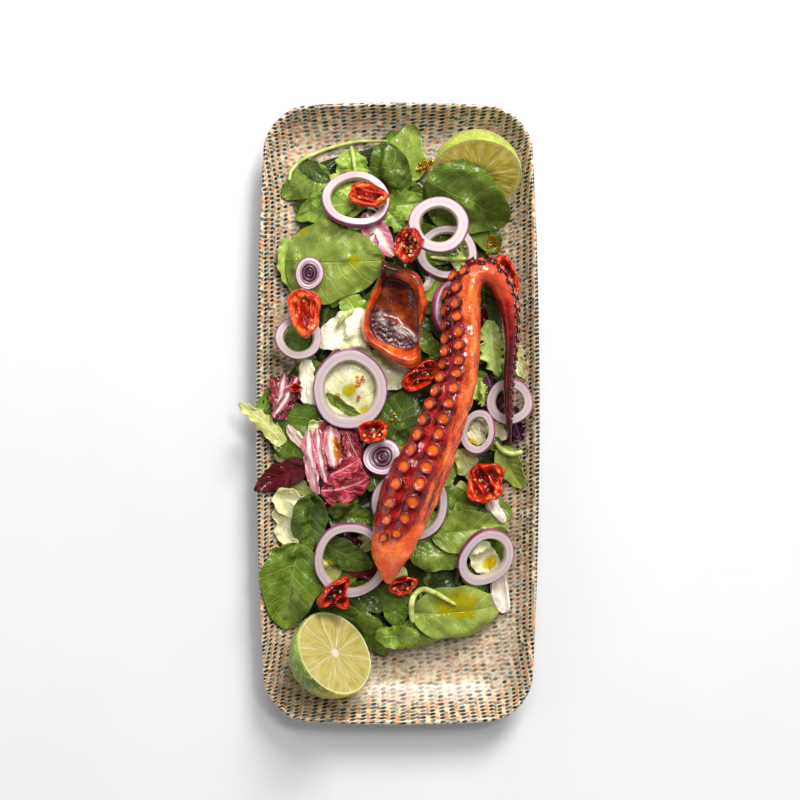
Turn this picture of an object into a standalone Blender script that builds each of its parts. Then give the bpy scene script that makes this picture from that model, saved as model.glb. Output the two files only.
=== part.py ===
"""A grilled octopus arm served on a leaf salad, on its own long platter.

The platter stands on the table at Z = 0 with its centre at the origin. Its long side lies along Y, +X is to the
diner's right and +Z is up. Blender's unit is the metre; MM turns a size in millimetres into metres.

The leaves are one solid heap. Each topping (the octopus, the lime halves, the onion rings, the dried tomatoes) is a
piece of its own: it is shaped about its own centre, tilted, and set down on whatever lies below it. The heap is then
shaped last, so that it gives way under the toppings as soft leaves do.
"""

import math

import bmesh
import bpy
import numpy as np
from mathutils import Matrix, Vector, noise
from mathutils.bvhtree import BVHTree

MM = 0.001
TURN = 2 * math.pi

# The platter
HALF_WIDTH = 74.5 * MM
HALF_LENGTH = 171.9 * MM
CORNER_RADIUS = 24.0 * MM
INNER_CORNER_RADIUS = 9.0 * MM
SIDE_BOW = 0.071
END_BOW = 0.0185
RIM_HEIGHT = 22.0 * MM
RIM_WIDTH = 2.2 * MM
FLOOR_HEIGHT = 6.0 * MM
FOOT_HEIGHT = 2.0 * MM
FOOT_INSET = 22.0 * MM
WALL_RUN = 25.0 * MM
INNER_STEEPNESS = 2.2
OUTER_STEEPNESS = 1.6
CORNER_STEPS = 6
SIDE_STEPS = 9
END_STEPS = 4

# How the pieces lie together
CLEARANCE = 0.5 * MM
LEAF_LAYER = 1.4 * MM
LEAF_SLACK = 2.0 * MM
EDGE_MARGIN = 9.0 * MM
SAMPLE_PITCH = 2.0 * MM
FAR_ABOVE = 0.2

# The heap of leaves: its uneven edge, as Y and the left and right X there (mm)
HEAP_EDGE = (
    (161.5, -1, 6), (153.7, -12.4, 12.4), (148, -31.5, 14.6), (143.5, -53.9, 16.9), (137.9, -62.9, 18),
    (131.2, -64, 20.2), (119.9, -59.6, 38), (113.2, -56.2, 54), (105.9, -63.5, 59), (97.5, -68, 57),
    (89, -67.4, 58.4), (80.6, -66.9, 64), (63.8, -61.8, 66.3), (52.5, -65.2, 66.9), (44.1, -68.5, 66.9),
    (35.7, -64, 67.4), (27.2, -62.9, 67.4), (19.9, -73, 67.4), (13.2, -80.9, 68), (6.5, -86, 68.5),
    (-0.8, -83.1, 70.2), (-9.3, -76.5, 71.3), (-17.7, -73.2, 71.3), (-25, -72, 71.3), (-31.7, -73.2, 68),
    (-38.5, -75, 63.5), (-44.1, -75, 62.9), (-51.4, -71.9, 62.4), (-59.8, -68.5, 62.4), (-68.3, -67.4, 62.9),
    (-76.7, -72, 64), (-85.1, -74.5, 64), (-93.5, -75, 63.5), (-102, -74.5, 61.2), (-110.4, -72, 58.4),
    (-117.1, -66, 56.7), (-122.8, -54, 53), (-127.2, -34, 44), (-131.7, -24, 20), (-134, -16, 4),
)

# The leaves that stand above the mound: centre X and Y, half length, half width (mm), the direction of the length
# (degrees from +X) and how far the middle of the leaf stands above the mound (mm)
RAISED_LEAVES = {
    "spinach_far_middle": (-1.5, 142, 20, 13, 80, 2.5),
    "spinach_far_left": (-50, 131, 15, 11, -35, 2),
    "frilly_left": (-38, 110, 18, 12, 0, 2),
    "spinach_left": (-39, 84, 29, 25, 0, 3),
    "lettuce_left": (-30, 47, 16, 12, 0, 2),
    "lettuce_under_big_ring": (-30, 21, 28, 22, 0, 3),
    "radicchio_small": (-66, 9, 14, 9, 45, 2),
    "spinach_left_middle": (-58, -13, 19, 15, -60, 2),
    "red_leaf": (-64, -36, 17, 8, 25, 1),
    "radicchio_large": (-36, -33, 24, 19, 90, 5),
    "spinach_near_left": (-58, -94, 24, 19, 75, 1.5),
    "spinach_near_right": (32, -111, 26, 18, 5, 2.5),
    "spinach_right": (43, -62, 22, 15, 0, 2),
    "leaf_under_bend": (54, 70, 22, 16, 70, 3.5),
}
MOUND_HEIGHT = 21.0 * MM
MOUND_CENTRE_Y = 5.0 * MM
MOUND_HALF_LENGTH = 165.0 * MM
MOUND_END_POWER = 3.0
MOUND_SIDE_POWER = 3.5
LUMP_HEIGHT = 1.6 * MM
LUMP_SIZE = 14.0 * MM
HEAP_COLUMNS = 13
HEAP_ROWS = 34
PRESS_PITCH = 1.4 * MM
PRESS_ROUNDS = 60
PRESS_TOLERANCE = 0.1 * MM
SIDE_SLOPE = 0.001

# The octopus arm, from its cut end to its tip: X, Y, height of the middle, half width (mm) and how far the face
# with the suckers is rolled from straight up towards the outside of the bend (degrees).
ARM_STATIONS = (
    (-5.5, -93.5, 34, 1.8, 10),
    (-5.2, -86.5, 36, 6.2, 12),
    (-4.4, -77.0, 38, 11.0, 15),
    (-1.1, -65.0, 40, 13.4, 16),
    (3.0, -53.0, 41, 14.9, 15),
    (6.8, -42.5, 41.5, 15.7, 15),
    (11.4, -33.0, 41.5, 15.2, 17),
    (16.2, -23.5, 41.5, 14.4, 19),
    (21.2, -12.0, 41, 13.6, 22),
    (25.5, -0.5, 40.5, 12.7, 24),
    (29.8, 11.0, 40, 11.8, 27),
    (33.2, 23.5, 39, 11.0, 32),
    (35.2, 38.0, 38, 10.9, 38),
    (35.4, 53.0, 37, 11.0, 46),
    (36.2, 65.5, 37, 10.8, 56),
    (40.0, 74.6, 37.5, 9.4, 66),
    (47.4, 78.4, 38, 8.0, 74),
    (54.4, 74.4, 37, 7.4, 78),
    (59.2, 64.8, 35.5, 6.9, 80),
    (61.6, 54.2, 34, 5.7, 80),
    (62.4, 42.6, 33, 4.6, 78),
    (61.9, 29.8, 32.5, 3.9, 76),
    (61.1, 17.0, 32, 3.4, 74),
    (61.2, 4.8, 31.5, 2.8, 74),
    (61.8, -6.3, 30.5, 2.0, 74),
    (62.4, -17.0, 29.5, 1.0, 74),
)
ARM_SIDES = 10
ARM_THICKNESS = 0.78
SUCKER_FACE_FLATNESS = 0.86
SUCKER_ROW_ANGLE = math.radians(25)
FIRST_SUCKER = 27.0 * MM
LAST_SUCKER_HALF_WIDTH = 5.0 * MM
SUCKER_SIDES = 7
SUCKER_STALK = 3.6 * MM
SUCKER_SUNK = 0.35
SUCKER_RIM = 0.7
SUCKER_DISH = 0.7 * MM

# The second piece of octopus: its outline (mm), its walls and its hollow
PIECE_OUTLINE = (
    (-10.4, 84.9), (0.0, 82.6), (8.0, 76.2), (13.6, 64.6), (15.4, 50.4), (12.9, 38.5), (10.6, 29.0), (3.9, 26.6),
    (-5.4, 31.8), (-15.0, 40.4), (-18.8, 50.6), (-18.0, 62.4), (-14.6, 74.5),
)
PIECE_LOOPS = ((0.45, 0.0), (0.86, 4.0), (1.0, 10.0), (0.92, 14.5), (0.76, 13.0), (0.58, 7.0))
PIECE_STEPS_PER_POINT = 2

# The lime halves: centre of the cut face (mm), where the cut face leans to and by how much (degrees)
LIME_RADIUS = 25.0 * MM
LIME_STRETCH = 1.06
LIME_STEPS = 20
LIME_SINK = 40.0 * MM
LIME_HALVES = {
    "lime_half_far": (43.6, 131.8, -90, 46),
    "lime_half_near": (-35.0, -132.5, 40, 50),
}

# The spinach leaf that leans on the far lime: centre, half length and half width (mm), turn of its length
LEAF_ON_LIME = (38.5, 118.5, 25.0, 17.5, -22)
LEAF_THICKNESS = 1.1 * MM
LEAF_LOOPS = (0.3, 0.6, 0.82, 1.0)
LEAF_STEPS = 16
DRAPE_ROUNDS = 30
DRAPE_PITCH = 1.0 * MM
LEAF_POINT = 0.12
LEAF_SINK = 4.0 * MM

# Onion rings: X, Y, half length, half width, wall and height (mm), turn of the long side, the direction that the
# ring's axis leans to and by how much (degrees), and how deep it sinks in the leaves (mm)
ONION_RINGS = {
    "onion_ring_left_wall": (-55.6, 42.4, 13.2, 12.3, 4.4, 4.2, 0, 0, 10, 1),
    "onion_ring_right_wall": (62.5, 6.5, 13.2, 12.8, 4.8, 4.2, 0, 180, 12, 2),
    "onion_ring_far_lower": (27.4, 90.0, 17.0, 15.4, 4.4, 4.0, 0, 80, 8, 5),
    "onion_ring_beside_arm": (28.4, 58.6, 11.5, 15.0, 4.8, 4.6, 0, 0, 38, 6),
    "onion_ring_under_arm": (6.7, -50.5, 21.6, 21.2, 4.4, 4.2, 0, 0, 4, 6),
    "onion_ring_near_left": (-26.2, -81.7, 20.9, 21.6, 4.4, 5.0, 0, -90, 12, 4),
    "onion_ring_far_upper": (22.4, 104.0, 16.8, 16.0, 6.0, 4.6, 0, 90, 8, 3),
    "onion_ring_far_left": (-23.6, 119.6, 19.3, 17.2, 4.6, 4.6, 0, 75, 22, 4),
    "onion_ring_big": (-26.8, 13.4, 20.8, 22.4, 5.9, 5.0, 0, -70, 6, 3),
    "onion_ring_near_right": (48.9, -80.5, 17.6, 15.0, 4.8, 5.0, 48, -50, 20, 3),
    "onion_ring_right": (44.8, -10.4, 9.8, 12.6, 3.8, 4.4, -8, 150, 20, 4),
}
RING_STEPS = 16
RING_BULGE = 0.97
WELD = 0.01 * MM

# Slices through an onion's heart, where the layers still hold together: the same values without the wall
ONION_HEARTS = {
    "onion_heart_left": (-49.4, 78.6, 8.0, 9.0, 4.6, 0, -90, 8, 1),
    "onion_heart_middle": (-8.6, -24.6, 10.6, 10.6, 4.6, 0, 120, 16, 4),
}
HEART_LAYERS = (0.68, 0.6, 0.3)
HEART_STEP = 0.7 * MM

# Dried tomatoes: X, Y, half length, half width and height (mm), turn of the length, roll about it (degrees), how
# deep it sinks in the leaves (mm), and the seed of its wrinkles
TOMATOES = {
    "tomato_under_bend": (60.0, 76.0, 16.0, 8.5, 6.5, -64, 0, 0, 1),
    "tomato_middle": (13.2, 22.6, 17.0, 7.5, 7.0, 48, 10, 3, 2),
    "tomato_far_middle": (7.9, 92.6, 11.4, 9.4, 7.5, -68, 26, 3, 3),
    "tomato_far_left": (-16.6, 121.0, 13.2, 8.0, 8.0, -12, -8, 2, 4),
    "tomato_left": (-51.2, 56.5, 14.6, 10.8, 8.5, -90, 6, 2, 5),
    "tomato_small": (-57.0, 14.2, 3.8, 3.2, 4.0, 0, 0, 1, 6),
    "tomato_centre": (-13.6, -10.6, 9.8, 7.8, 7.0, 0, -10, 2, 7),
    "tomato_right": (50.2, -39.2, 14.0, 12.2, 9.0, 60, -10, 3, 8),
    "tomato_near_left": (-36.0, -99.0, 13.6, 10.2, 9.0, 55, 12, 3, 9),
    "tomato_near_middle": (3.0, -97.0, 10.0, 6.6, 6.5, 20, -14, 2, 10),
}
TOMATO_SIDES = 12
TOMATO_LOOPS = ((0.55, 0.0), (0.97, 0.4), (0.95, 0.88), (0.74, 1.0), (0.42, 0.55))
TOMATO_WRINKLE = 0.16

# How deep the octopus sinks in the leaves
ARM_SINK = 6.0 * MM
PIECE_SINK = 4.0 * MM

COLOURS = {
    "glazed_ceramic": ((0.62, 0.52, 0.36), 0.25),
    "salad_leaf": ((0.10, 0.22, 0.04), 0.45),
    "octopus": ((0.45, 0.07, 0.03), 0.25),
    "lime": ((0.52, 0.58, 0.12), 0.35),
    "onion": ((0.75, 0.62, 0.66), 0.3),
    "tomato": ((0.55, 0.04, 0.02), 0.25),
}


def material(name):
    """The material of that name, made the first time that it is asked for."""
    found = bpy.data.materials.get(name)
    if found:
        return found
    colour, roughness = COLOURS[name]
    made = bpy.data.materials.new(name)
    made.use_nodes = True
    shader = made.node_tree.nodes["Principled BSDF"]
    shader.inputs["Base Color"].default_value = (*colour, 1.0)
    shader.inputs["Roughness"].default_value = roughness
    shader.inputs["Metallic"].default_value = 0.0
    return made


def place_object(name, bm, material_name, collection):
    """Turns a closed bmesh into a named object of the collection, with its faces pointing out."""
    bmesh.ops.recalc_face_normals(bm, faces=bm.faces)
    mesh = bpy.data.meshes.new(name)
    bm.to_mesh(mesh)
    bm.free()
    mesh.materials.append(material(material_name))
    mesh.shade_smooth()
    mesh.set_sharp_from_angle(angle=math.radians(45))
    made = bpy.data.objects.new(name, mesh)
    collection.objects.link(made)
    return made


def loft(loops):
    """A closed bmesh through loops of points, from the first to the last, each of the same number of points."""
    bm = bmesh.new()
    rings = [[bm.verts.new(point) for point in loop] for loop in loops]
    count = len(rings[0])
    for low, high in zip(rings, rings[1:]):
        for i in range(count):
            j = (i + 1) % count
            bm.faces.new((low[i], low[j], high[j], high[i]))
    bm.faces.new(reversed(rings[0]))
    bm.faces.new(rings[-1])
    return bm


def hit(tree, x, y, from_above):
    """The height where a vertical line first meets the tree's surface, or None."""
    start = Vector((x, y, FAR_ABOVE if from_above else -FAR_ABOVE))
    place = tree.ray_cast(start, Vector((0, 0, -1 if from_above else 1)))[0]
    return place.z if place else None


class Serving:
    """The platter's surface and the pieces set down on it so far, as points and surface trees."""

    def __init__(self, platter):
        self.platter = platter
        self.pieces = []

    def floor(self, x, y):
        """The height of the platter's upper face, or of its rim beyond the edge."""
        height = hit(self.platter, x, y, from_above=True)
        return RIM_HEIGHT if height is None else height

    def top(self, x, y):
        """The height of the highest piece over a point, or None where there is none."""
        heights = [hit(tree, x, y, from_above=True) for _, tree in self.pieces]
        return max((height for height in heights if height is not None), default=None)

    def underside(self, x, y):
        """The height of the lowest piece's underside over a point, or None where there is none."""
        heights = [hit(tree, x, y, from_above=False) for _, tree in self.pieces]
        return min((height for height in heights if height is not None), default=None)

    def add(self, bm):
        """Keeps a piece that has been set down."""
        self.pieces.append((np.array([v.co for v in bm.verts]), BVHTree.FromBMesh(bm)))


# ---------------------------------------------------------------- the platter


def platter_outline(inset):
    """The points of the platter's bowed, round-cornered outline, drawn in from the rim by inset."""
    width, length = HALF_WIDTH - inset, HALF_LENGTH - inset
    radius = max(CORNER_RADIUS - inset, INNER_CORNER_RADIUS)
    points = []
    for corner, (sign_x, sign_y) in enumerate(((1, 1), (-1, 1), (-1, -1), (1, -1))):
        centre = Vector((sign_x * (width - radius), sign_y * (length - radius)))
        for step in range(CORNER_STEPS):
            angle = (corner + step / (CORNER_STEPS - 1)) * TURN / 4
            points.append(centre + radius * Vector((math.cos(angle), math.sin(angle))))
        # The straight run to the next corner: along the end after the first and third, along the side otherwise
        steps = END_STEPS if corner % 2 == 0 else SIDE_STEPS
        turn = -1 if corner in (0, 1) else 1
        run = 2 * (width - radius) if corner % 2 == 0 else 2 * (length - radius)
        along = Vector((turn, 0)) if corner % 2 == 0 else Vector((0, turn))
        points += [points[-1] + along * run * k / steps for k in range(1, steps)]
    return [
        Vector((
            p.x * (1 + SIDE_BOW * (1 - (p.y / HALF_LENGTH) ** 2)),
            p.y * (1 + END_BOW * (1 - (p.x / HALF_WIDTH) ** 2)),
        ))
        for p in points
    ]


def inner_height(inset):
    """The height of the platter's upper face, where it is that far in from the rim."""
    run = min(max((inset - RIM_WIDTH) / WALL_RUN, 0.0), 1.0)
    return FLOOR_HEIGHT + (RIM_HEIGHT - FLOOR_HEIGHT) * (1 - run) ** INNER_STEEPNESS


def outer_height(inset):
    """The height of the platter's underside outside its foot."""
    run = min(max(inset / FOOT_INSET, 0.0), 1.0)
    return FOOT_HEIGHT + (RIM_HEIGHT - FOOT_HEIGHT) * (1 - run) ** OUTER_STEEPNESS


def build_platter(collection):
    """A flat foot, a flaring wall, a rounded rim and a coupe-shaped inside, as one loft."""
    foot_insets = (FOOT_INSET + 1.2 * MM, FOOT_INSET + 0.2 * MM)
    heights = [(foot_insets[0], 0.0), (foot_insets[1], 0.6 * MM)]
    heights += [(inset * MM, outer_height(inset * MM)) for inset in (18.5, 11, 4)]
    heights += [(0.0, RIM_HEIGHT - 1.3 * MM), (0.9 * MM, RIM_HEIGHT)]
    heights += [(inset * MM, inner_height(inset * MM)) for inset in (2.2, 6, 11, 17.5, 27.2)]
    bm = loft([[(p.x, p.y, z) for p in platter_outline(inset)] for inset, z in heights])
    bmesh.ops.triangulate(bm, faces=bm.faces[:])
    serving = Serving(BVHTree.FromBMesh(bm))
    place_object("platter", bm, "glazed_ceramic", collection)
    return serving


# ------------------------------------------------- the heap before it is pressed


def heap_span(y):
    """The left and right edge of the heap at that Y, or None beyond its ends."""
    if not HEAP_EDGE[-1][0] * MM <= y <= HEAP_EDGE[0][0] * MM:
        return None
    rows = np.array(HEAP_EDGE[::-1]) * MM
    return float(np.interp(y, rows[:, 0], rows[:, 1])), float(np.interp(y, rows[:, 0], rows[:, 2]))


def heap_surface(serving, x, y):
    """The height of the loose heap before anything presses on it."""
    left, right = heap_span(y)
    along = min(abs(y - MOUND_CENTRE_Y) / MOUND_HALF_LENGTH, 1.0)
    across = min(abs(2 * x - left - right) / (right - left), 1.0)
    mound = MOUND_HEIGHT * math.sqrt((1 - along**MOUND_END_POWER) * (1 - across**MOUND_SIDE_POWER))
    rise = 0.0
    for x0, y0, half_length, half_width, direction, lift in RAISED_LEAVES.values():
        turn = math.radians(direction)
        dx, dy = x - x0 * MM, y - y0 * MM
        u = (dx * math.cos(turn) + dy * math.sin(turn)) / (half_length * MM)
        v = (dy * math.cos(turn) - dx * math.sin(turn)) / (half_width * MM)
        rise = max(rise, lift * MM * (1 - u * u - v * v))
    lump = LUMP_HEIGHT * noise.noise(Vector((x, y, 0.0)) / LUMP_SIZE)
    return max(serving.floor(x, y) + CLEARANCE + LEAF_LAYER, FLOOR_HEIGHT + mound + rise + lump)


def soft_ground(serving, x, y, sink):
    """The height that a piece settles to: sink deep in the leaves, but no deeper than leaves leave room for."""
    spans = [heap_span(y + shift) for shift in (-EDGE_MARGIN, 0, EDGE_MARGIN)]
    if not any(span and span[0] - EDGE_MARGIN <= x <= span[1] + EDGE_MARGIN for span in spans):
        return serving.floor(x, y) + CLEARANCE
    ground = serving.floor(x, y) + CLEARANCE + LEAF_LAYER + LEAF_SLACK
    if not spans[1] or not spans[1][0] <= x <= spans[1][1]:
        return ground
    return max(ground, heap_surface(serving, x, y) - sink)


# ------------------------------------------------------------- setting pieces down


def samples_over(points, pitch):
    """Plan positions to test a piece at: its corners, nudged inwards, and a grid over its box."""
    low = [min(p[axis] for p in points) for axis in (0, 1)]
    high = [max(p[axis] for p in points) for axis in (0, 1)]
    middle = [(a + b) / 2 for a, b in zip(low, high)]
    nudge = 0.999
    found = [(middle[0] + (p[0] - middle[0]) * nudge, middle[1] + (p[1] - middle[1]) * nudge) for p in points]
    for x in np.arange(low[0], high[0] + pitch, pitch):
        found += [(float(x), float(y)) for y in np.arange(low[1], high[1] + pitch, pitch)]
    return found


def set_down(bm, serving, sink):
    """Lowers a piece on to the leaves, the platter and the pieces already there, and adds it to them."""
    bmesh.ops.triangulate(bm, faces=bm.faces[:])
    tree = BVHTree.FromBMesh(bm)
    samples = samples_over([tuple(v.co) for v in bm.verts], SAMPLE_PITCH)
    lift = -FAR_ABOVE
    for x, y in samples + [tuple(p[:2]) for points, _ in serving.pieces for p in points]:
        bottom = hit(tree, x, y, from_above=False)
        if bottom is None:
            continue
        top = serving.top(x, y)
        ground = soft_ground(serving, x, y, sink)
        lift = max(lift, (ground if top is None else max(ground, top + CLEARANCE)) - bottom)
    bmesh.ops.translate(bm, verts=bm.verts, vec=(0, 0, lift))
    serving.add(bm)


def lean(direction, angle):
    """The rotation that leans a piece's axis from +Z towards a direction in plan, both in degrees."""
    toward = math.radians(direction)
    axis = Vector((-math.sin(toward), math.cos(toward), 0))
    return Matrix.Rotation(math.radians(angle), 4, axis)


# -------------------------------------------------------------- onions


def spin_profile(profile, closed, half_length, half_width):
    """A bmesh of a profile of (share of the radius, height) turned round Z, then made oval."""
    bm = bmesh.new()
    points = [bm.verts.new((share, 0, height)) for share, height in profile]
    pairs = list(zip(points, points[1:] + points[:1] if closed else points[1:]))
    lines = [bm.edges.new(pair) for pair in pairs]
    bmesh.ops.spin(bm, geom=points + lines, cent=(0, 0, 0), axis=(0, 0, 1), angle=TURN, steps=RING_STEPS)
    bmesh.ops.scale(bm, vec=(half_length, half_width, 1), verts=bm.verts)
    bmesh.ops.remove_doubles(bm, verts=bm.verts, dist=WELD)
    return bm


def build_onion_ring(name, sizes, serving, collection):
    """One layer of a cut onion: a low tube whose outer wall bulges a little."""
    x, y, half_length, half_width, wall, height, turn, leans_to, angle, sink = sizes
    h = height * MM / 2
    inner = 1 - 2 * wall / (half_length + half_width)
    profile = ((RING_BULGE, -h), (1.0, 0.0), (RING_BULGE, h), (inner, h), (inner, -h))
    bm = spin_profile(profile, True, half_length * MM, half_width * MM)
    where = Matrix.Translation((x * MM, y * MM, 0)) @ lean(leans_to, angle)
    bmesh.ops.transform(bm, matrix=where @ Matrix.Rotation(math.radians(turn), 4, "Z"), verts=bm.verts)
    set_down(bm, serving, sink * MM)
    return place_object(name, bm, "onion", collection)


def build_onion_heart(name, sizes, serving, collection):
    """A slice through the middle of an onion: a disc whose layers stand in low steps round the heart."""
    x, y, half_length, half_width, height, turn, leans_to, angle, sink = sizes
    h = height * MM / 2
    groove, step, heart = HEART_LAYERS
    profile = ((0, -h), (RING_BULGE, -h), (1.0, 0.0), (RING_BULGE, h), (groove, h), (step, h - HEART_STEP),
               (heart, h), (0, h))
    bm = spin_profile(profile, False, half_length * MM, half_width * MM)
    where = Matrix.Translation((x * MM, y * MM, 0)) @ lean(leans_to, angle)
    bmesh.ops.transform(bm, matrix=where @ Matrix.Rotation(math.radians(turn), 4, "Z"), verts=bm.verts)
    set_down(bm, serving, sink * MM)
    return place_object(name, bm, "onion", collection)


# ------------------------------------------------------------ tomatoes and limes


def build_tomato(name, sizes, serving, collection):
    """Half a dried tomato: a shallow cup with a thick curled rim, wrinkled as it shrank."""
    x, y, half_length, half_width, height, turn, roll, sink, seed = sizes
    loops = []
    for share, level in TOMATO_LOOPS:
        loop = []
        for k in range(TOMATO_SIDES):
            t = TURN * k / TOMATO_SIDES
            wrinkle = noise.noise(Vector((2.2 * math.cos(t), 2.2 * math.sin(t), 7.3 * seed)))
            pinch = 1 + TOMATO_WRINKLE * wrinkle + 0.07 * math.cos(2 * t + seed)
            point = Vector((half_length * math.cos(t), half_width * math.sin(t), 0)) * share * pinch
            curl = 0.22 * noise.noise(Vector((3 * math.cos(t), 3 * math.sin(t), 3.1 * seed + 5))) * level
            loop.append((point.x * MM, point.y * MM, height * MM * (level + curl)))
        loops.append(loop)
    bm = loft(loops)
    where = Matrix.Translation((x * MM, y * MM, 0)) @ Matrix.Rotation(math.radians(turn), 4, "Z")
    bmesh.ops.transform(bm, matrix=where @ Matrix.Rotation(math.radians(roll), 4, "X"), verts=bm.verts)
    set_down(bm, serving, sink * MM)
    return place_object(name, bm, "tomato", collection)


def build_lime_half(name, sizes, serving, collection):
    """Half a lime, cut across: a slightly long sphere below a flat face, with the bump of its blossom end."""
    x, y, leans_to, angle = sizes
    bm = bmesh.new()
    bmesh.ops.create_uvsphere(bm, u_segments=LIME_STEPS, v_segments=LIME_STEPS // 2, radius=LIME_RADIUS)
    for v in bm.verts:
        bump = max(0.0, -v.co.z / LIME_RADIUS - 0.93) / 0.07
        v.co.z *= LIME_STRETCH + 0.05 * bump
    everything = bm.verts[:] + bm.edges[:] + bm.faces[:]
    cut = bmesh.ops.bisect_plane(
        bm, geom=everything, plane_co=(0, 0, 0), plane_no=(0, 0, 1), dist=1e-6, clear_outer=True
    )
    rim = [part for part in cut["geom_cut"] if isinstance(part, bmesh.types.BMEdge)]
    bmesh.ops.holes_fill(bm, edges=rim)
    where = Matrix.Translation((x * MM, y * MM, 0)) @ lean(leans_to, angle)
    bmesh.ops.transform(bm, matrix=where, verts=bm.verts)
    set_down(bm, serving, LIME_SINK)
    return place_object(name, bm, "lime", collection)


def sheet_solid(under):
    """A thin triangulated solid over a sheet's underside, given as loops of points."""
    over = [[point + Vector((0, 0, LEAF_THICKNESS)) for point in loop] for loop in under]
    bm = loft(under + over[::-1])
    bmesh.ops.triangulate(bm, faces=bm.faces[:])
    bm.faces.ensure_lookup_table()
    return bm


def draped_sheet(under, serving):
    """Lifts the points of a sheet's underside until it clears the pieces already placed, and gives its solid."""
    flat = [point for loop in under for point in loop]
    for _ in range(DRAPE_ROUNDS):
        bm = sheet_solid(under)
        sheet = BVHTree.FromBMesh(bm)
        clear = True
        for x, y in samples_over(flat, DRAPE_PITCH):
            top = serving.top(x, y)
            place, _, index, _ = sheet.ray_cast(Vector((x, y, -FAR_ABOVE)), Vector((0, 0, 1)))
            if top is None or place is None or place.z >= top + CLEARANCE:
                continue
            clear = False
            for v in bm.faces[index].verts:
                if v.index < len(flat):
                    flat[v.index].z = max(flat[v.index].z, v.co.z + top + CLEARANCE - place.z)
        if clear:
            return bm
        bm.free()
    return sheet_solid(under)


def build_leaf_on_lime(serving, collection):
    """A thick spinach leaf that lies on the heap and climbs the lime's cut face, as a thin curved solid."""
    x0, y0, half_length, half_width, turn = LEAF_ON_LIME
    spin = Matrix.Rotation(math.radians(turn), 2)
    under = []
    for share in LEAF_LOOPS:
        loop = []
        for k in range(LEAF_STEPS):
            t = TURN * k / LEAF_STEPS
            reach = share * (1 + LEAF_POINT * max(0.0, math.cos(t)) ** 3)
            flat = spin @ Vector((half_length * math.cos(t), half_width * math.sin(t))) * reach
            x, y = (x0 + flat.x) * MM, (y0 + flat.y) * MM
            loop.append(Vector((x, y, soft_ground(serving, x, y, LEAF_SINK))))
        under.append(loop)
    bm = draped_sheet(under, serving)
    set_down(bm, serving, LEAF_SINK)
    return place_object("spinach_leaf_on_lime", bm, "salad_leaf", collection)


# -------------------------------------------------------------------- the octopus


def arm_line():
    """The arm's stations as arrays: middles, half widths, roll of the sucker face, and length along the arm."""
    table = np.array(ARM_STATIONS, float)
    middles = table[:, :3] * MM
    along = np.concatenate([[0], np.cumsum(np.linalg.norm(np.diff(middles, axis=0), axis=1))])
    return middles, table[:, 3] * MM, np.radians(table[:, 4]), along


def arm_frame(middles, index_or_share):
    """The arm's middle and its direction at a share of the way from one station to the next."""
    low = min(int(index_or_share), len(middles) - 2)
    share = index_or_share - low
    before, after = max(low - 1, 0), min(low + 2, len(middles) - 1)
    start = middles[low + 1] - middles[before]
    end = middles[after] - middles[low]
    direction = Vector(start * (1 - share) + end * share).normalized()
    middle = Vector(middles[low] * (1 - share) + middles[low + 1] * share)
    left = Vector((0, 0, 1)).cross(direction).normalized()
    return middle, direction, left, direction.cross(left)


def arm_point(middle, left, up, half_width, roll, angle):
    """A point of the arm's skin and the way out from it: the section is flatter on the face with the suckers."""
    face = up * math.cos(roll) + left * math.sin(roll)
    side = left * math.cos(roll) - up * math.sin(roll)
    flat = SUCKER_FACE_FLATNESS if math.cos(angle) > 0 else 1.0
    depth = half_width * ARM_THICKNESS * flat
    point = middle + face * depth * math.cos(angle) + side * half_width * math.sin(angle)
    outward = face * math.cos(angle) * half_width + side * math.sin(angle) * depth
    return point, outward.normalized()


def build_sucker(bm, place, outward, radius):
    """A stubby cup that stands on the arm: a stalk with a raised rim round a dished face."""
    turn = outward.to_track_quat("Z", "X").to_matrix().to_4x4()
    lower, upper = -SUCKER_STALK * SUCKER_SUNK, SUCKER_STALK * (1 - SUCKER_SUNK)
    matrix = Matrix.Translation(place + outward * (lower + upper) / 2) @ turn
    made = bmesh.ops.create_cone(
        bm, cap_ends=True, segments=SUCKER_SIDES, radius1=radius * 0.86, radius2=radius,
        depth=upper - lower, matrix=matrix,
    )
    faces = {face for v in made["verts"] for face in v.link_faces}
    bm.normal_update()
    top = max(faces, key=lambda face: face.normal.dot(outward) * (len(face.verts) == SUCKER_SIDES))
    bmesh.ops.inset_region(bm, faces=[top], thickness=radius * (1 - SUCKER_RIM), depth=0.0)
    bmesh.ops.translate(bm, verts=top.verts, vec=-outward * SUCKER_DISH)


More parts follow.
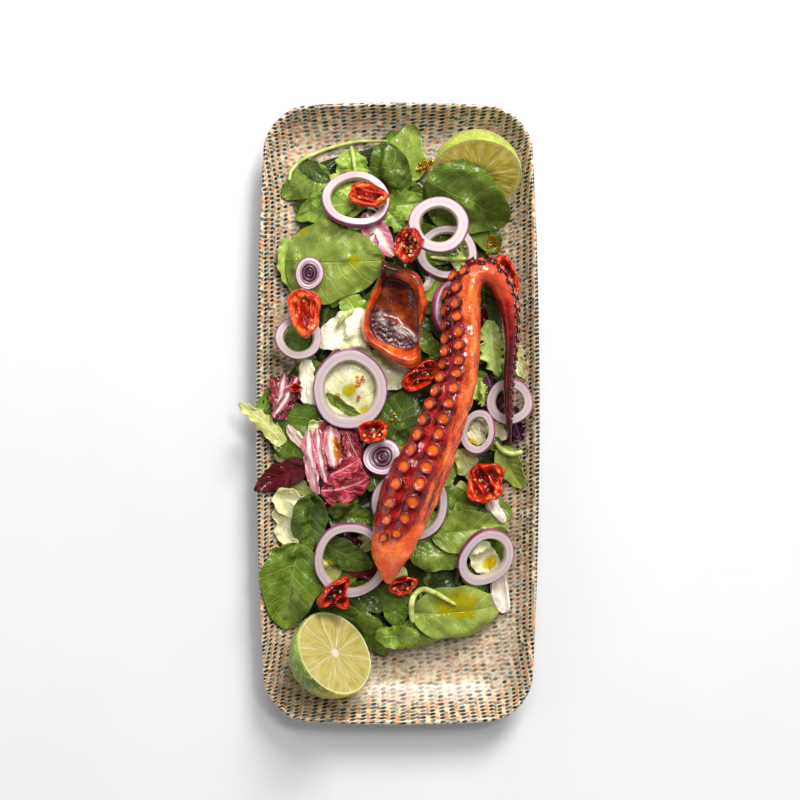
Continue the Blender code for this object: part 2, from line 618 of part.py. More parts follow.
def build_octopus_arm(serving, collection):
    """The tapering arm with two rows of suckers, joined into one solid."""
    middles, half_widths, rolls, along = arm_line()
    loops = []
    for i in range(len(middles)):
        middle, _, left, up = arm_frame(middles, i)
        angles = [TURN * k / ARM_SIDES for k in range(ARM_SIDES)]
        loops.append([arm_point(middle, left, up, half_widths[i], rolls[i], t)[0] for t in angles])
    skin = loft(loops)

    suckers = bmesh.new()
    s = FIRST_SUCKER
    row_offset = 0
    while True:
        half_width = float(np.interp(s, along, half_widths))
        if half_width < LAST_SUCKER_HALF_WIDTH:
            break
        share = float(np.interp(s, along, range(len(along))))
        middle, _, left, up = arm_frame(middles, share)
        roll = float(np.interp(s, along, rolls))
        pitch = 0.43 * half_width + 3.2 * MM
        radius = min(0.16 * half_width + 1.65 * MM, 0.34 * half_width)
        angle = SUCKER_ROW_ANGLE if row_offset % 2 == 0 else -SUCKER_ROW_ANGLE
        place, outward = arm_point(middle, left, up, half_width, roll, angle)
        build_sucker(suckers, place, outward, radius)
        row_offset += 1
        s += pitch / 2

    # The suckers go down with the skin, so the piece that is set down is the two of them together
    both = skin.copy()
    scratch = bpy.data.meshes.new("suckers")
    suckers.to_mesh(scratch)
    both.from_mesh(scratch)
    before = min(v.co.z for v in both.verts)
    set_down(both, serving, ARM_SINK)
    drop = min(v.co.z for v in both.verts) - before
    both.free()
    for part in (skin, suckers):
        bmesh.ops.translate(part, verts=part.verts, vec=(0, 0, drop))
    bpy.data.meshes.remove(scratch)

    arm = place_object("octopus_arm", skin, "octopus", collection)
    tool = place_object("sucker_tool", suckers, "octopus", collection)
    union = arm.modifiers.new("suckers", "BOOLEAN")
    union.operation = "UNION"
    union.object = tool
    return arm, tool


def smooth_closed(points, steps):
    """A smooth closed curve through points, each stretch divided into that many steps (Catmull-Rom)."""
    count = len(points)
    found = []
    for i in range(count):
        a, b, c, d = (Vector(points[(i + k) % count]) for k in (-1, 0, 1, 2))
        for step in range(steps):
            t = step / steps
            found.append(
                0.5 * (2 * b + (c - a) * t + (2 * a - 5 * b + 4 * c - d) * t * t + (3 * b - a - 3 * c + d) * t**3)
            )
    return found


def build_octopus_piece(serving, collection):
    """A thick curled piece with a raised rim round a hollow, like a small boat."""
    outline = smooth_closed(PIECE_OUTLINE, PIECE_STEPS_PER_POINT)
    middle = sum(outline, Vector((0, 0))) / len(outline)
    loops = []
    for share, height in PIECE_LOOPS:
        loop = [middle + (p - middle) * share for p in outline]
        loops.append([(p.x * MM, p.y * MM, height * MM) for p in loop])
    bm = loft(loops)
    set_down(bm, serving, PIECE_SINK)
    return place_object("octopus_piece", bm, "octopus", collection)


# ---------------------------------------------------------------------- the heap


def press(bm, serving, pairs):
    """Lifts the heap's underside off the platter and lowers its top from the pieces, where its faces cut in."""
    limits = []
    points = [tuple(v.co) for v in bm.verts] + [tuple(p) for cloud, _ in serving.pieces for p in cloud]
    for x, y in samples_over(points, PRESS_PITCH):
        under = serving.underside(x, y)
        limits.append((x, y, serving.floor(x, y) + CLEARANCE, FAR_ABOVE if under is None else under - CLEARANCE))
    for _ in range(PRESS_ROUNDS):
        bm.faces.ensure_lookup_table()
        tree = BVHTree.FromBMesh(bm)
        rise, fall = {}, {}
        for x, y, floor, ceiling in limits:
            low, low_normal, low_face, _ = tree.ray_cast(Vector((x, y, -FAR_ABOVE)), Vector((0, 0, 1)))
            high, high_normal, high_face, _ = tree.ray_cast(Vector((x, y, FAR_ABOVE)), Vector((0, 0, -1)))
            if low is None or high is None or min(abs(low_normal.z), abs(high_normal.z)) < SIDE_SLOPE:
                continue
            for face, gap, moves in ((low_face, floor - low.z, rise), (high_face, high.z - ceiling, fall)):
                if gap > PRESS_TOLERANCE:
                    for v in bm.faces[face].verts:
                        moves[v] = max(moves.get(v, 0.0), gap)
        for v, move in rise.items():
            v.co.z += move
        for v, move in fall.items():
            v.co.z -= move
        for bottom, top in pairs:
            top.co.z = max(top.co.z, bottom.co.z + LEAF_LAYER)
        if not rise and not fall:
            return


def build_heap(serving, collection):
    """The leaves as one solid: a grid slab, its underside on the platter and its top pressed by the pieces."""
    bm = bmesh.new()
    bmesh.ops.create_grid(bm, x_segments=HEAP_COLUMNS, y_segments=HEAP_ROWS, size=0.5)
    extruded = bmesh.ops.extrude_face_region(bm, geom=bm.faces[:])
    lower = {v for v in extruded["geom"] if isinstance(v, bmesh.types.BMVert)}
    first, last = HEAP_EDGE[-1][0] * MM, HEAP_EDGE[0][0] * MM
    columns = {}
    for v in bm.verts:
        columns.setdefault((round(v.co.x, 5), round(v.co.y, 5)), []).append(v)
    for stack in columns.values():
        stack.sort(key=lambda v: v not in lower)
        y = first + (last - first) * (stack[0].co.y + 0.5)
        left, right = heap_span(y)
        x = left + (right - left) * (stack[0].co.x + 0.5)
        stack[0].co = Vector((x, y, serving.floor(x, y) + CLEARANCE))
        stack[1].co = Vector((x, y, heap_surface(serving, x, y)))
    bmesh.ops.triangulate(bm, faces=bm.faces[:])
    press(bm, serving, columns.values())
    return place_object("salad_heap", bm, "salad_leaf", collection)


def main():
    for old in list(bpy.data.objects):
        bpy.data.objects.remove(old)
    dish = bpy.data.collections.new("octopus_salad_platter")
    tools = bpy.data.collections.new("tools")
    for collection in (dish, tools):
        bpy.context.scene.collection.children.link(collection)

    serving = build_platter(dish)
    for name, sizes in LIME_HALVES.items():
        build_lime_half(name, sizes, serving, dish)
    build_leaf_on_lime(serving, dish)
    for name, sizes in ONION_RINGS.items():
        build_onion_ring(name, sizes, serving, dish)
    for name, sizes in ONION_HEARTS.items():
        build_onion_heart(name, sizes, serving, dish)
    for name, sizes in TOMATOES.items():
        build_tomato(name, sizes, serving, dish)
    build_octopus_piece(serving, dish)
    _, tool = build_octopus_arm(serving, dish)
    dish.objects.unlink(tool)
    tools.objects.link(tool)
    tool.hide_render = True
    tool.display_type = "WIRE"
    build_heap(serving, dish)


main()
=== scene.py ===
"""A grilled octopus arm on a leaf salad with onion, dried tomatoes and lime, served on a long glazed platter.

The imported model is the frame: every piece here is placed by its nodes. Lengths are in millimetres up to the moment
when a mesh gets its points, and MM turns them into metres.
"""

import math

import bpy
import numpy as np
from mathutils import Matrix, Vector
from mathutils.bvhtree import BVHTree


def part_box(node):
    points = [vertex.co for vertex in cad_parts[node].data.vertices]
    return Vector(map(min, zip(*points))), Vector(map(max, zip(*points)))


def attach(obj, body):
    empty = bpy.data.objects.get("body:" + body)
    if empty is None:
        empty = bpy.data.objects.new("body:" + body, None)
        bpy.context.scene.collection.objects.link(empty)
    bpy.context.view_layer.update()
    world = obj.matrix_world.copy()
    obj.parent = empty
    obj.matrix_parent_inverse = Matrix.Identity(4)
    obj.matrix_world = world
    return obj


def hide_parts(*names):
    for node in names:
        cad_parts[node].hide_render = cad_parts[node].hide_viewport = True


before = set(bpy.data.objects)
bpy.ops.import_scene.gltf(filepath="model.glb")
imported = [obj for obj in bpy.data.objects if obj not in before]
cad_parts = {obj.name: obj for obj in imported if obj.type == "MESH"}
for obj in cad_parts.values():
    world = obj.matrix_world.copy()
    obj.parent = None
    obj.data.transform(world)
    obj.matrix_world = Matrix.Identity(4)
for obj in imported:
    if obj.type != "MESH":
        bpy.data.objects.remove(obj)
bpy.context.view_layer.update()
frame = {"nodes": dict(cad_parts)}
scene = bpy.context.scene
bpy.ops.object.select_all(action="DESELECT")

# ---------------------------------------------------------------- the table and the light
# The platter stands on a smooth white table top. Daylight comes from one large window beyond the far end and a
# little to the right, and white walls on the other sides fill the shadows.


def srgb(text):
    """The linear colour of an sRGB hex value."""
    parts = [int(text[i:i + 2], 16) / 255 for i in (1, 3, 5)]
    return tuple(c / 12.92 if c <= 0.04045 else ((c + 0.055) / 1.055) ** 2.4 for c in parts) + (1.0,)


def connect(tree, node, links):
    """Sets a node's sockets. Each value is another node, a socket of one, or a plain number or colour."""
    for socket, value in links.items():
        if isinstance(value, bpy.types.Node):
            value = value.outputs[0]
        if isinstance(value, bpy.types.NodeSocket):
            tree.links.new(value, node.inputs[socket])
        else:
            node.inputs[socket].default_value = srgb(value) if isinstance(value, str) else value


def add(tree, kind, links=None, stops=(), **settings):
    """Adds a shader node with its settings and links; stops are the places and colours of a ramp."""
    made = tree.nodes.new("ShaderNode" + kind)
    for name, value in settings.items():
        setattr(made, name, value)
    connect(tree, made, links or {})
    for i, (place, colour) in enumerate(stops):
        ramp = made.color_ramp.elements
        if i >= len(ramp):
            ramp.new(place)
        ramp[i].position, ramp[i].color = place, srgb(colour)
    return made


def start_material(name, roughness, ior, fields="", **sockets):
    """A new material, its tree, its one shader, then as sockets the place on the object and the mesh's own fields."""
    made = bpy.data.materials.new(name)
    made.use_nodes = True
    tree = made.node_tree
    shader = tree.nodes["Principled BSDF"]
    connect(tree, shader, {"Roughness": roughness, "IOR": ior})
    connect(tree, shader, {socket.replace("_", " "): value for socket, value in sockets.items()})
    given = [add(tree, "Attribute", attribute_name=field).outputs["Fac"] for field in fields.split()]
    return made, tree, shader, add(tree, "TexCoord").outputs["Object"], *given


def mottled_material(name, roughness, ior, scale, detail, stops, relief=None, **sockets):
    """A material of one mottle, with its colours from dark to pale and, if it has relief, its strength and height."""
    made, tree, shader, place = start_material(name, roughness, ior, **sockets)
    mottle = add(tree, "TexNoise", {"Vector": place, "Scale": scale, "Detail": detail})
    connect(tree, shader, {"Base Color": add(tree, "ValToRGB", {0: mottle}, stops)})
    if relief:
        bump = add(tree, "Bump", {"Height": mottle, "Strength": relief[0], "Distance": relief[1]})
        connect(tree, shader, {"Normal": bump})
    return made


# Laminate or painted board, smooth and matt: a very faint mottle, and no gloss to speak of
table_white = mottled_material("white_painted_board", 0.6, 1.45, 9.0, 3.0, ((0.3, "#d4d5d7"), (0.7, "#d8d9db")))

bpy.ops.mesh.primitive_plane_add(size=6.0, location=(0, 0, -0.0001))
table = bpy.context.object
table.name = "table_top"
table.data.materials.append(table_white)

for name, place, size, power, colour in (
    ("window_light", (0.66, 1.62, 1.5), 0.8, 60.0, "#fffdfa"),
    ("high_window_light", (0.55, 0.5, 1.7), 0.32, 9.0, "#ffffff"),
    ("left_wall_light", (-1.5, -0.2, 1.0), 1.2, 4.5, "#f6f9ff"),
    ("white_curtain", (-0.05, 0.80, 1.55), 0.5, 7.0, "#ffffff"),
):
    bpy.ops.object.light_add(type="AREA", location=place)
    lamp = bpy.context.object
    lamp.name = name
    lamp.data.shape = "SQUARE"
    lamp.data.size = size
    lamp.data.energy = power
    lamp.data.color = srgb(colour)[:3]
    lamp.rotation_euler = Vector(place).to_track_quat("Z", "Y").to_euler()

# The walls are white all round, and the ceiling overhead is in its own shade
world = bpy.data.worlds.new("white_room")
world.use_nodes = True
tree = world.node_tree
height = add(tree, "SeparateXYZ", {0: add(tree, "TexCoord").outputs["Generated"]}).outputs["Z"]
shade = add(tree, "ValToRGB", {0: height}, stops=((0.35, "#f4f6f8"), (0.85, "#575552")))
connect(tree, tree.nodes["Background"], {"Color": shade, "Strength": 0.76})
scene.world = world

VIEW_HEIGHT = 0.95
bpy.ops.object.camera_add(location=(0.0011, 0.0076, VIEW_HEIGHT), rotation=(0, 0, 0))
scene.camera = bpy.context.object
scene.camera.data.sensor_width = 36.0
scene.camera.data.lens = 74.3
scene.view_settings.view_transform = "Standard"

# ---------------------------------------------------------------- the platter
# Stoneware, slip cast as a long dish with a flat foot, a flaring wall and a thin rounded rim. A small woven-look
# print lies under a clear glossy glaze, fired on.

MM = 0.001
TURN = 2 * math.pi
HALF_WIDTH, HALF_LENGTH, CORNER_RADIUS, INNER_CORNER_RADIUS = 74.5, 171.9, 24.0, 9.0
SIDE_BOW, END_BOW = 0.071, 0.0185
RIM_HEIGHT, FLOOR_HEIGHT = 22.0, 6.0
WELL_DEPTH = RIM_HEIGHT - FLOOR_HEIGHT
FOOT_INSET, FLAT_FLOOR_INSET = 24.0, 27.2
FLOOR_SHARES = (0.75, 0.5, 0.25, 0)
OUTSIDE_LOOPS = 14


def on_circle(angle):
    """Points on a circle of radius 1."""
    return np.stack((np.cos(angle), np.sin(angle)), -1)


def part_way(value, start, run):
    """How far along a run from its start a value is, from 0 to 1; a run below 0 counts downwards."""
    return np.clip((value - start) / run, 0, 1)


def outline(inset):
    """The points of the platter's bowed outline, drawn in from the rim, as an array of X and Y."""
    width, length = HALF_WIDTH - inset, HALF_LENGTH - inset
    radius = max(CORNER_RADIUS - inset, INNER_CORNER_RADIUS)
    points = []
    for corner, (sign_x, sign_y) in enumerate(((1, 1), (-1, 1), (-1, -1), (1, -1))):
        centre = np.array((sign_x * (width - radius), sign_y * (length - radius)))
        angles = (corner + np.linspace(0, 1, 22)) * TURN / 4
        points += list(centre + radius * on_circle(angles))
        on_end = corner % 2 == 0
        run, steps = (2 * (width - radius), 26) if on_end else (2 * (length - radius), 64)
        turn = -1 if corner in (0, 1) else 1
        along = np.array((turn, 0) if on_end else (0, turn))
        points += [points[-1] + along * run * k / steps for k in range(1, steps)]
    p = np.array(points)
    bowed = np.stack((
        p[:, 0] * (1 + SIDE_BOW * (1 - (p[:, 1] / HALF_LENGTH) ** 2)),
        p[:, 1] * (1 + END_BOW * (1 - (p[:, 0] / HALF_WIDTH) ** 2)),
    ), 1)
    return np.concatenate((bowed, bowed[:1]))


def sew(outward=True):
    """Joins the points of the active mesh that meet, and turns its faces outwards."""
    bpy.ops.object.mode_set(mode="EDIT")
    bpy.ops.mesh.select_all(action="SELECT")
    bpy.ops.mesh.remove_doubles(threshold=1e-6)
    if outward:
        bpy.ops.mesh.normals_make_consistent(inside=False)
    bpy.ops.object.mode_set(mode="OBJECT")


def grid_piece(name, points, sewn=False, **values):
    """A grid primitive whose points are put where they belong, with float attributes; sewn joins its edges."""
    rows, columns = points.shape[:2]
    bpy.ops.object.select_all(action="DESELECT")
    bpy.ops.mesh.primitive_grid_add(x_subdivisions=columns - 1, y_subdivisions=rows - 1, size=1)
    made = bpy.context.object
    made.name = made.data.name = name
    made.data.vertices.foreach_set("co", (points * MM).astype(np.float32).ravel())
    for key, value in values.items():
        made.data.attributes.new(key, "FLOAT", "POINT").data.foreach_set("value", value.astype(np.float32).ravel())
    if sewn:
        sew()
    bpy.ops.object.shade_smooth()
    return made


def serve(piece, material, slot, *nodes):
    """Gives a piece its material and fixes it to the frame in place of some nodes; the slot is not used."""
    piece.data.materials.clear()
    piece.data.materials.append(material)
    if nodes:
        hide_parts(*nodes)
    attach(piece, "root")
    return piece


# The section, from the foot up the outside, over the rim and down to the floor: inset from the rim, and height
section = [(FOOT_INSET, 0.0), (23.4, 0.0), (22.7, 0.25), (22.2, 0.8)]
section += [(inset, 2.0 + 20.0 * (1 - inset / 22.0) ** 1.6) for inset in (21.4, 19, 16, 13, 10, 7.5, 5, 3, 1.6)]
section += [(0.3, 20.2), (0.0, 20.9), (0.15, 21.6), (0.6, RIM_HEIGHT), (1.2, RIM_HEIGHT)]
section += [(inset, FLOOR_HEIGHT + WELL_DEPTH * (1 - float(part_way(inset, 2.2, 25.0))) ** 2.2)
            for inset in (1.9, 3, 4.3, 6, 8, 10.5, 13, 15.5, 18, 20.5, 23, 25, FLAT_FLOOR_INSET)]
loops = [(outline(FOOT_INSET) * share, 0.0) for share in (0.0, 0.5)]
loops += [(outline(inset), height) for inset, height in section]
loops += [(outline(FLAT_FLOOR_INSET) * share, FLOOR_HEIGHT) for share in FLOOR_SHARES]
dish = np.array([np.column_stack((line, np.full(len(line), height))) for line, height in loops])

# Where the print lies: lengths measured over the glazed face from the middle of the floor
floor_edge = len(dish) - len(FLOOR_SHARES) - 1
print_x, print_y = dish[..., 0].copy(), dish[..., 1].copy()
for i in range(floor_edge - 1, -1, -1):
    step = dish[i] - dish[i + 1]
    plan = np.maximum(np.linalg.norm(step[:, :2], axis=1), 1e-6)
    stretch = np.linalg.norm(step, axis=1) / plan
    print_x[i] = print_x[i + 1] + step[:, 0] * stretch
    print_y[i] = print_y[i + 1] + step[:, 1] * stretch
print_x /= 1 + 0.2 * part_way(np.abs(dish[..., 1]), 118, 55) ** 1.4
wall_height = part_way(dish[..., 2], FLOOR_HEIGHT, WELL_DEPTH)
wall_height[:OUTSIDE_LOOPS] = 1.0  # the print is whole on the outside
platter = grid_piece("glazed_platter", dish, True, print_x=print_x, print_y=print_y, wall=wall_height)

# Stoneware under a clear glaze: the print is soft at its edges, as a fired decal is, and the glaze is mirror smooth
# but for a faint waviness. Dark dashes stand in columns, with two layers of paler coloured ones between and behind.
DASH_PITCH, DASH_ROW = 4.8, 2.4
glaze, tree, shader, place, across, along, wall = start_material(
    "printed_stoneware_clear_glaze", 0.36, 1.5, "print_x print_y wall", Coat_Weight=0.7, Coat_Roughness=0.15)
wobble = add(tree, "TexNoise", {"Vector": place, "Scale": 45.0, "Detail": 2.0})
shift = add(tree, "Math", {0: wobble, 1: 0.5}, operation="SUBTRACT")
ground_noise = add(tree, "TexNoise", {"Vector": place, "Scale": 420.0, "Detail": 3.0})
colour = add(tree, "ValToRGB", {0: ground_noise},
             stops=((0.3, "#b0967a"), (0.45, "#cdba9c"), (0.6, "#ded2be"), (0.75, "#bf9c76")))
# Each layer of dashes, the dark ones last: sideways offset, length, width, lean and how it is coloured
for offset, length, width, lean_angle, stops in (
    (2.4, 3.0, 2.2, -0.35, ((0.0, "#b0622a"), (0.35, "#cf8c50"), (0.6, "#365450"), (0.8, "#e2cc9e"))),
    (1.2, 2.2, 1.5, 0.45, ((0.0, "#cc8044"), (0.5, "#eadab4"), (0.75, "#5c5a48"), (0.9, "#b86c34"))),
    (0.0, 3.2, 1.9, 0.42, ((0.0, "#080807"), (0.45, "#12181a"), (0.75, "#1a383c"), (1.0, "#4a3420"))),
):
    x = add(tree, "Math", {0: across, 1: offset}, operation="ADD")
    x = add(tree, "Math", {0: shift, 1: 2.4, 2: x}, operation="MULTIPLY_ADD")
    column = add(tree, "Math", {0: add(tree, "Math", {0: x, 1: DASH_PITCH}, operation="DIVIDE")}, operation="FLOOR")
    near_x = add(tree, "Math", {0: add(tree, "Math", {0: column, 1: 0.5}, operation="ADD"), 1: -DASH_PITCH, 2: x},
                 operation="MULTIPLY_ADD")
    stagger = add(tree, "TexWhiteNoise", {"W": column}, noise_dimensions="1D")
    y = add(tree, "Math", {0: stagger, 1: DASH_ROW, 2: along}, operation="MULTIPLY_ADD")
    line = add(tree, "Math", {0: add(tree, "Math", {0: y, 1: DASH_ROW}, operation="DIVIDE")}, operation="FLOOR")
    near_y = add(tree, "Math", {0: add(tree, "Math", {0: line, 1: 0.5}, operation="ADD"), 1: -DASH_ROW, 2: y},
                 operation="MULTIPLY_ADD")
    chance = add(tree, "TexWhiteNoise", {"Vector": add(tree, "CombineXYZ", {0: column, 1: line, 2: offset})},
                 noise_dimensions="3D")
    cosine, sine = math.cos(lean_angle), math.sin(lean_angle)
    lengthwise = add(tree, "Math", {0: near_x, 1: cosine / length * 2,
                                    2: add(tree, "Math", {0: near_y, 1: sine / length * 2}, operation="MULTIPLY")},
                     operation="MULTIPLY_ADD")
    crosswise = add(tree, "Math", {0: near_y, 1: cosine / width * 2,
                                   2: add(tree, "Math", {0: near_x, 1: -sine / width * 2}, operation="MULTIPLY")},
                    operation="MULTIPLY_ADD")
    radius = add(tree, "VectorMath", {0: add(tree, "CombineXYZ", {0: lengthwise, 1: crosswise, 2: 0.0})},
                 operation="LENGTH").outputs["Value"]
    dash = add(tree, "MapRange", {0: radius, 1: 1.2, 2: 0.7}, interpolation_type="SMOOTHSTEP")
    # The print is drawn strong on the wall and faint on the floor of the well; on the wall that strength is partly
    # the print's own and partly painted shade
    weight = add(tree, "Math", {0: wall, 1: 0.84, 2: 0.20}, operation="MULTIPLY_ADD")
    weight = add(tree, "Math", {0: chance.outputs["Value"], 1: 0.75, 2: weight}, operation="MULTIPLY_ADD")
    weight = add(tree, "Math", {0: weight, 1: 0.14}, operation="SUBTRACT", use_clamp=True)
    mask = add(tree, "Math", {0: dash, 1: weight}, operation="MULTIPLY")
    paint = add(tree, "ValToRGB", {0: chance.outputs["Color"]}, stops=stops)
    colour = add(tree, "MixRGB", {0: mask, 1: colour, 2: paint})
swell = add(tree, "TexNoise", {"Vector": place, "Scale": 60.0, "Detail": 1.0})
relief = add(tree, "Math", {0: mask, 1: 0.15, 2: swell}, operation="MULTIPLY_ADD")
bump = add(tree, "Bump", {"Height": relief, "Strength": 0.35, "Distance": 0.0004})
connect(tree, shader, {"Base Color": colour, "Normal": bump})
serve(platter, glaze, "glazed_ceramic", "platter")

# ---------------------------------------------------------------- the bed of leaves
# Washed salad leaves, thrown loosely on the platter: baby spinach, pale lettuce, frilly leaves, radicchio and a few
# dark red leaves. They lie in the room that the heap solid keeps, over each other and under the toppings.

MAP_X, MAP_Y = np.arange(-96.0, 97.0), np.arange(-186.0, 187.0)
HIGH = 70.0
LEAF_GAP, FREE_GAP = 0.35, 0.55


def height_map(objects, from_above):
    """Heights (mm) where vertical lines, a millimetre apart, first meet the objects; nan where they miss."""
    points, faces = [], []
    for o in objects:
        start = len(points)
        points += [v.co / MM for v in o.data.vertices]
        faces += [[start + i for i in f.vertices] for f in o.data.polygons]
    tree = BVHTree.FromPolygons(points, faces)
    start, way = (300.0, Vector((0, 0, -1))) if from_above else (-300.0, Vector((0, 0, 1)))
    met = [[tree.ray_cast(Vector((x, y, start)), way)[0] for x in MAP_X] for y in MAP_Y]
    return np.array([[p.z if p else np.nan for p in row] for row in met])


def soften(field, radius):
    """A map blurred over a radius in millimetres."""
    reach = np.arange(-int(2.5 * radius) - 1, int(2.5 * radius) + 2)
    weights = np.exp(-((reach / radius) ** 2) / 2)
    for axis in (0, 1):
        field = sum(w * np.roll(field, k, axis) for k, w in zip(reach, weights / weights.sum()))
    return field


def lowest_near(field, reach):
    """A map of the lowest value within a square reach."""
    for axis in (0, 1):
        field = np.minimum.reduce([np.roll(field, k, axis) for k in range(-reach, reach + 1)])
    return field


def read_map(field, x, y):
    """The map's value at any X and Y, between its points."""
    i = np.clip(x - MAP_X[0], 0, len(MAP_X) - 1.001)
    j = np.clip(y - MAP_Y[0], 0, len(MAP_Y) - 1.001)
    i0, j0 = i.astype(int), j.astype(int)
    i, j = i - i0, j - j0
    low = field[j0, i0] * (1 - i) + field[j0, i0 + 1] * i
    return low * (1 - j) + (field[j0 + 1, i0] * (1 - i) + field[j0 + 1, i0 + 1] * i) * j


def ripple(points, size, seed, waves=8):
    """A smooth irregular value from about -1 to 1 at points of any dimension, with bumps of about that size."""
    rng = np.random.default_rng(seed)
    points = np.asarray(points)
    ways = rng.normal(size=(waves, points.shape[-1]))
    ways /= np.linalg.norm(ways, axis=1)[:, None] * size * rng.uniform(1.2, 3.0, (waves, 1)) / TURN
    return np.sin(points @ ways.T + rng.uniform(0, TURN, waves)).sum(-1) / math.sqrt(waves) / 1.1


nodes = frame["nodes"]
toppings = [o for name, o in nodes.items() if name not in ("platter", "salad_heap")]
floor_map = height_map([nodes["platter"]], True)
floor_map = np.where(np.isnan(floor_map), RIM_HEIGHT, floor_map)
under_map = height_map(toppings, False)
under_map = np.where(np.isnan(under_map), HIGH, under_map)
ceiling_map = np.minimum(lowest_near(under_map, 1), soften(lowest_near(under_map, 3), 1.5))
raw_heap = height_map([nodes["salad_heap"]], True)
heap_map = soften(np.where(np.isnan(raw_heap), floor_map + 2.0, raw_heap), 2.0)
laid_map = floor_map + 0.3

# What each kind of leaf is like: how its half width runs from stalk (0) to tip (1), the waves at its margin (mm and
# number), how much it puckers between its side veins, how its midrib stands or sinks, and its thickness (mm)
KINDS = {
    "spinach": (lambda t: np.sin(np.pi * t**0.82) ** 0.58 * (1 - 0.08 * t), 0.9, 3.2, 0.40, -0.5, 0.45),
    "lettuce": (lambda t: (0.42 + 0.58 * np.sin(np.pi * t**0.7)) * (1 - t**9) ** 0.5, 1.8, 4.5, 0.30, 0.5, 0.5),
    "frilly": (lambda t: (0.35 + 0.65 * np.sin(np.pi * t**0.9)) * (1 - t**8) ** 0.5, 1.9, 5.5, 0.35, 0.3, 0.4),
    "radicchio": (lambda t: (0.5 + 0.5 * np.sin(np.pi * t**0.8)) * (1 - t**7) ** 0.5, 3.0, 5.0, 0.85, 0.9, 0.6),
    "purple": (lambda t: (0.45 + 0.55 * np.sin(np.pi * t**0.8)) * (1 - t**7) ** 0.5, 2.2, 5.0, 0.45, 0.4, 0.45),
    "red_leaf": (lambda t: np.sin(np.pi * t**0.75) ** 0.8, 1.0, 3.0, 0.45, -0.3, 0.45),
    "rib": (lambda t: (0.75 + 0.25 * np.sin(np.pi * t)) * (1 - t**10) ** 0.5 * (1 - (1 - t) ** 10) ** 0.5,
            0.5, 2.0, 0.1, 0.8, 1.6),
    "frisee": (lambda t: (0.4 + 0.6 * np.sin(np.pi * t**0.9)) * (1 - t**6) ** 0.5, 3.2, 8.0, 0.4, 0.3, 0.4),
    "pink_rib": (lambda t: (0.6 + 0.4 * np.sin(np.pi * t**0.8)) * (1 - t**6) ** 0.5 * (1 - (1 - t) ** 9) ** 0.5,
                 1.3, 3.0, 0.35, 1.4, 0.9),
}


def bell(value, middle, width):
    """1 where a value is at the middle, falling smoothly to nothing about two widths away."""
    return np.exp(-(((value - middle) / width) ** 2))


def turned(x, y, angle):
    """X and Y turned about the origin."""
    c, s = math.cos(angle), math.sin(angle)
    return x * c - y * s, x * s + y * c


def leaf_points(kind, x, y, length, width, direction, level, bend, tilt, curl, seed, shape):
    """A leaf's upper face as a grid of points: rows from side to side, columns from the stalk to the tip."""
    outline_of, wave, waves, pucker, midrib, _ = KINDS[kind]
    rows, columns = shape
    rng = np.random.default_rng(seed)
    phase = rng.uniform(0, TURN, 6)
    t, s = np.meshgrid(np.linspace(0.004, 0.996, columns), np.linspace(-1, 1, rows))
    half = width * outline_of(t) * (1 + 0.05 * np.sin(7 * t + phase[0]) + 0.04 * np.sin(17 * t + phase[1]))
    out = np.abs(s) * half
    side = s > 0
    lean = np.where(side, tilt[0], tilt[1])
    turn = np.where(side, curl[0], curl[1]) / width
    turn = np.where(np.abs(turn) < 1e-4, 1e-4, turn)
    end = lean + turn * out
    across = (np.sin(end) - np.sin(lean)) / turn * np.sign(s)
    rise = (np.cos(lean) - np.cos(end)) / turn
    margin = np.stack((waves * t + 9 * side, phase[2] + 0 * t), -1)
    rise += wave * np.abs(s) ** 3 * ripple(margin, 0.6, seed + 20) * np.sin(np.pi * t) ** 0.3
    across += 0.45 * wave * s * s * np.abs(s) * ripple(margin, 0.5, seed + 30) * np.sin(np.pi * t) ** 0.5
    vein = np.abs((t * 7 - np.abs(s) * 1.5 + side * 0.4) % 1 - 0.5) * 2
    rise += pucker * (1 - vein**3) * np.minimum(np.abs(s) * 3, 1)
    rise += midrib * bell(out, 0, 1.0 + 0.03 * width) * (1.1 - t)
    # The midline runs along the direction and bends in plan
    heading = math.radians(direction) + bend * (t - 0.5)
    step = 2 * length / (columns - 1)
    middle_x = np.cumsum(np.cos(heading[0])) * step
    middle_y = np.cumsum(np.sin(heading[0])) * step
    middle_x, middle_y = middle_x - middle_x[columns // 2] + x, middle_y - middle_y[columns // 2] + y
    px = middle_x + across * -np.sin(heading)
    py = middle_y + across * np.cos(heading)
    rise += 0.45 * pucker * ripple(np.stack((px, py), -1), 3.2, seed + 50)
    rise += 1.1 * ripple(np.stack((px, py), -1), 13.0, seed + 90)
    return px, py, rise + level, t, s


# Where oil pooled on the leaves: X, Y, half length, half width (mm) and turn of the length (degrees)
OIL_POOLS = (
    (33.5, -107.5, 13, 8.5, -10), (-57.0, 103.5, 8, 4.5, 25), (-24.5, 86.0, 4, 3, 0), (-43.0, 24.0, 3, 8, -12),
    (-27.0, 13.0, 5, 3.5, 20), (-18.5, 2.5, 4, 2.5, 30), (39.5, -18.0, 5, 3.5, 0), (-34.5, -19.5, 2.6, 8, 14),
    (52.5, -84.5, 6, 4, 20), (-38.5, -84.0, 3, 2.5, 0), (4.0, -20.0, 6, 4, 0), (-33.0, 60.0, 5, 4, 0),
)


def oil_on(px, py):
    """How much oil lies at points on the leaves, from 0 to 1, soft at the edge of each pool."""
    amount = np.zeros(px.shape)
    for index, (x, y, length, width, turn) in enumerate(OIL_POOLS):
        a, b = turned(px - x, py - y, -math.radians(turn))
        reach = np.hypot(a / length, b / width) + 0.22 * ripple(np.stack((px, py), -1), 6.0, 800 + index)
        amount = np.maximum(amount, part_way(reach, 1.05, -0.35))
    return amount


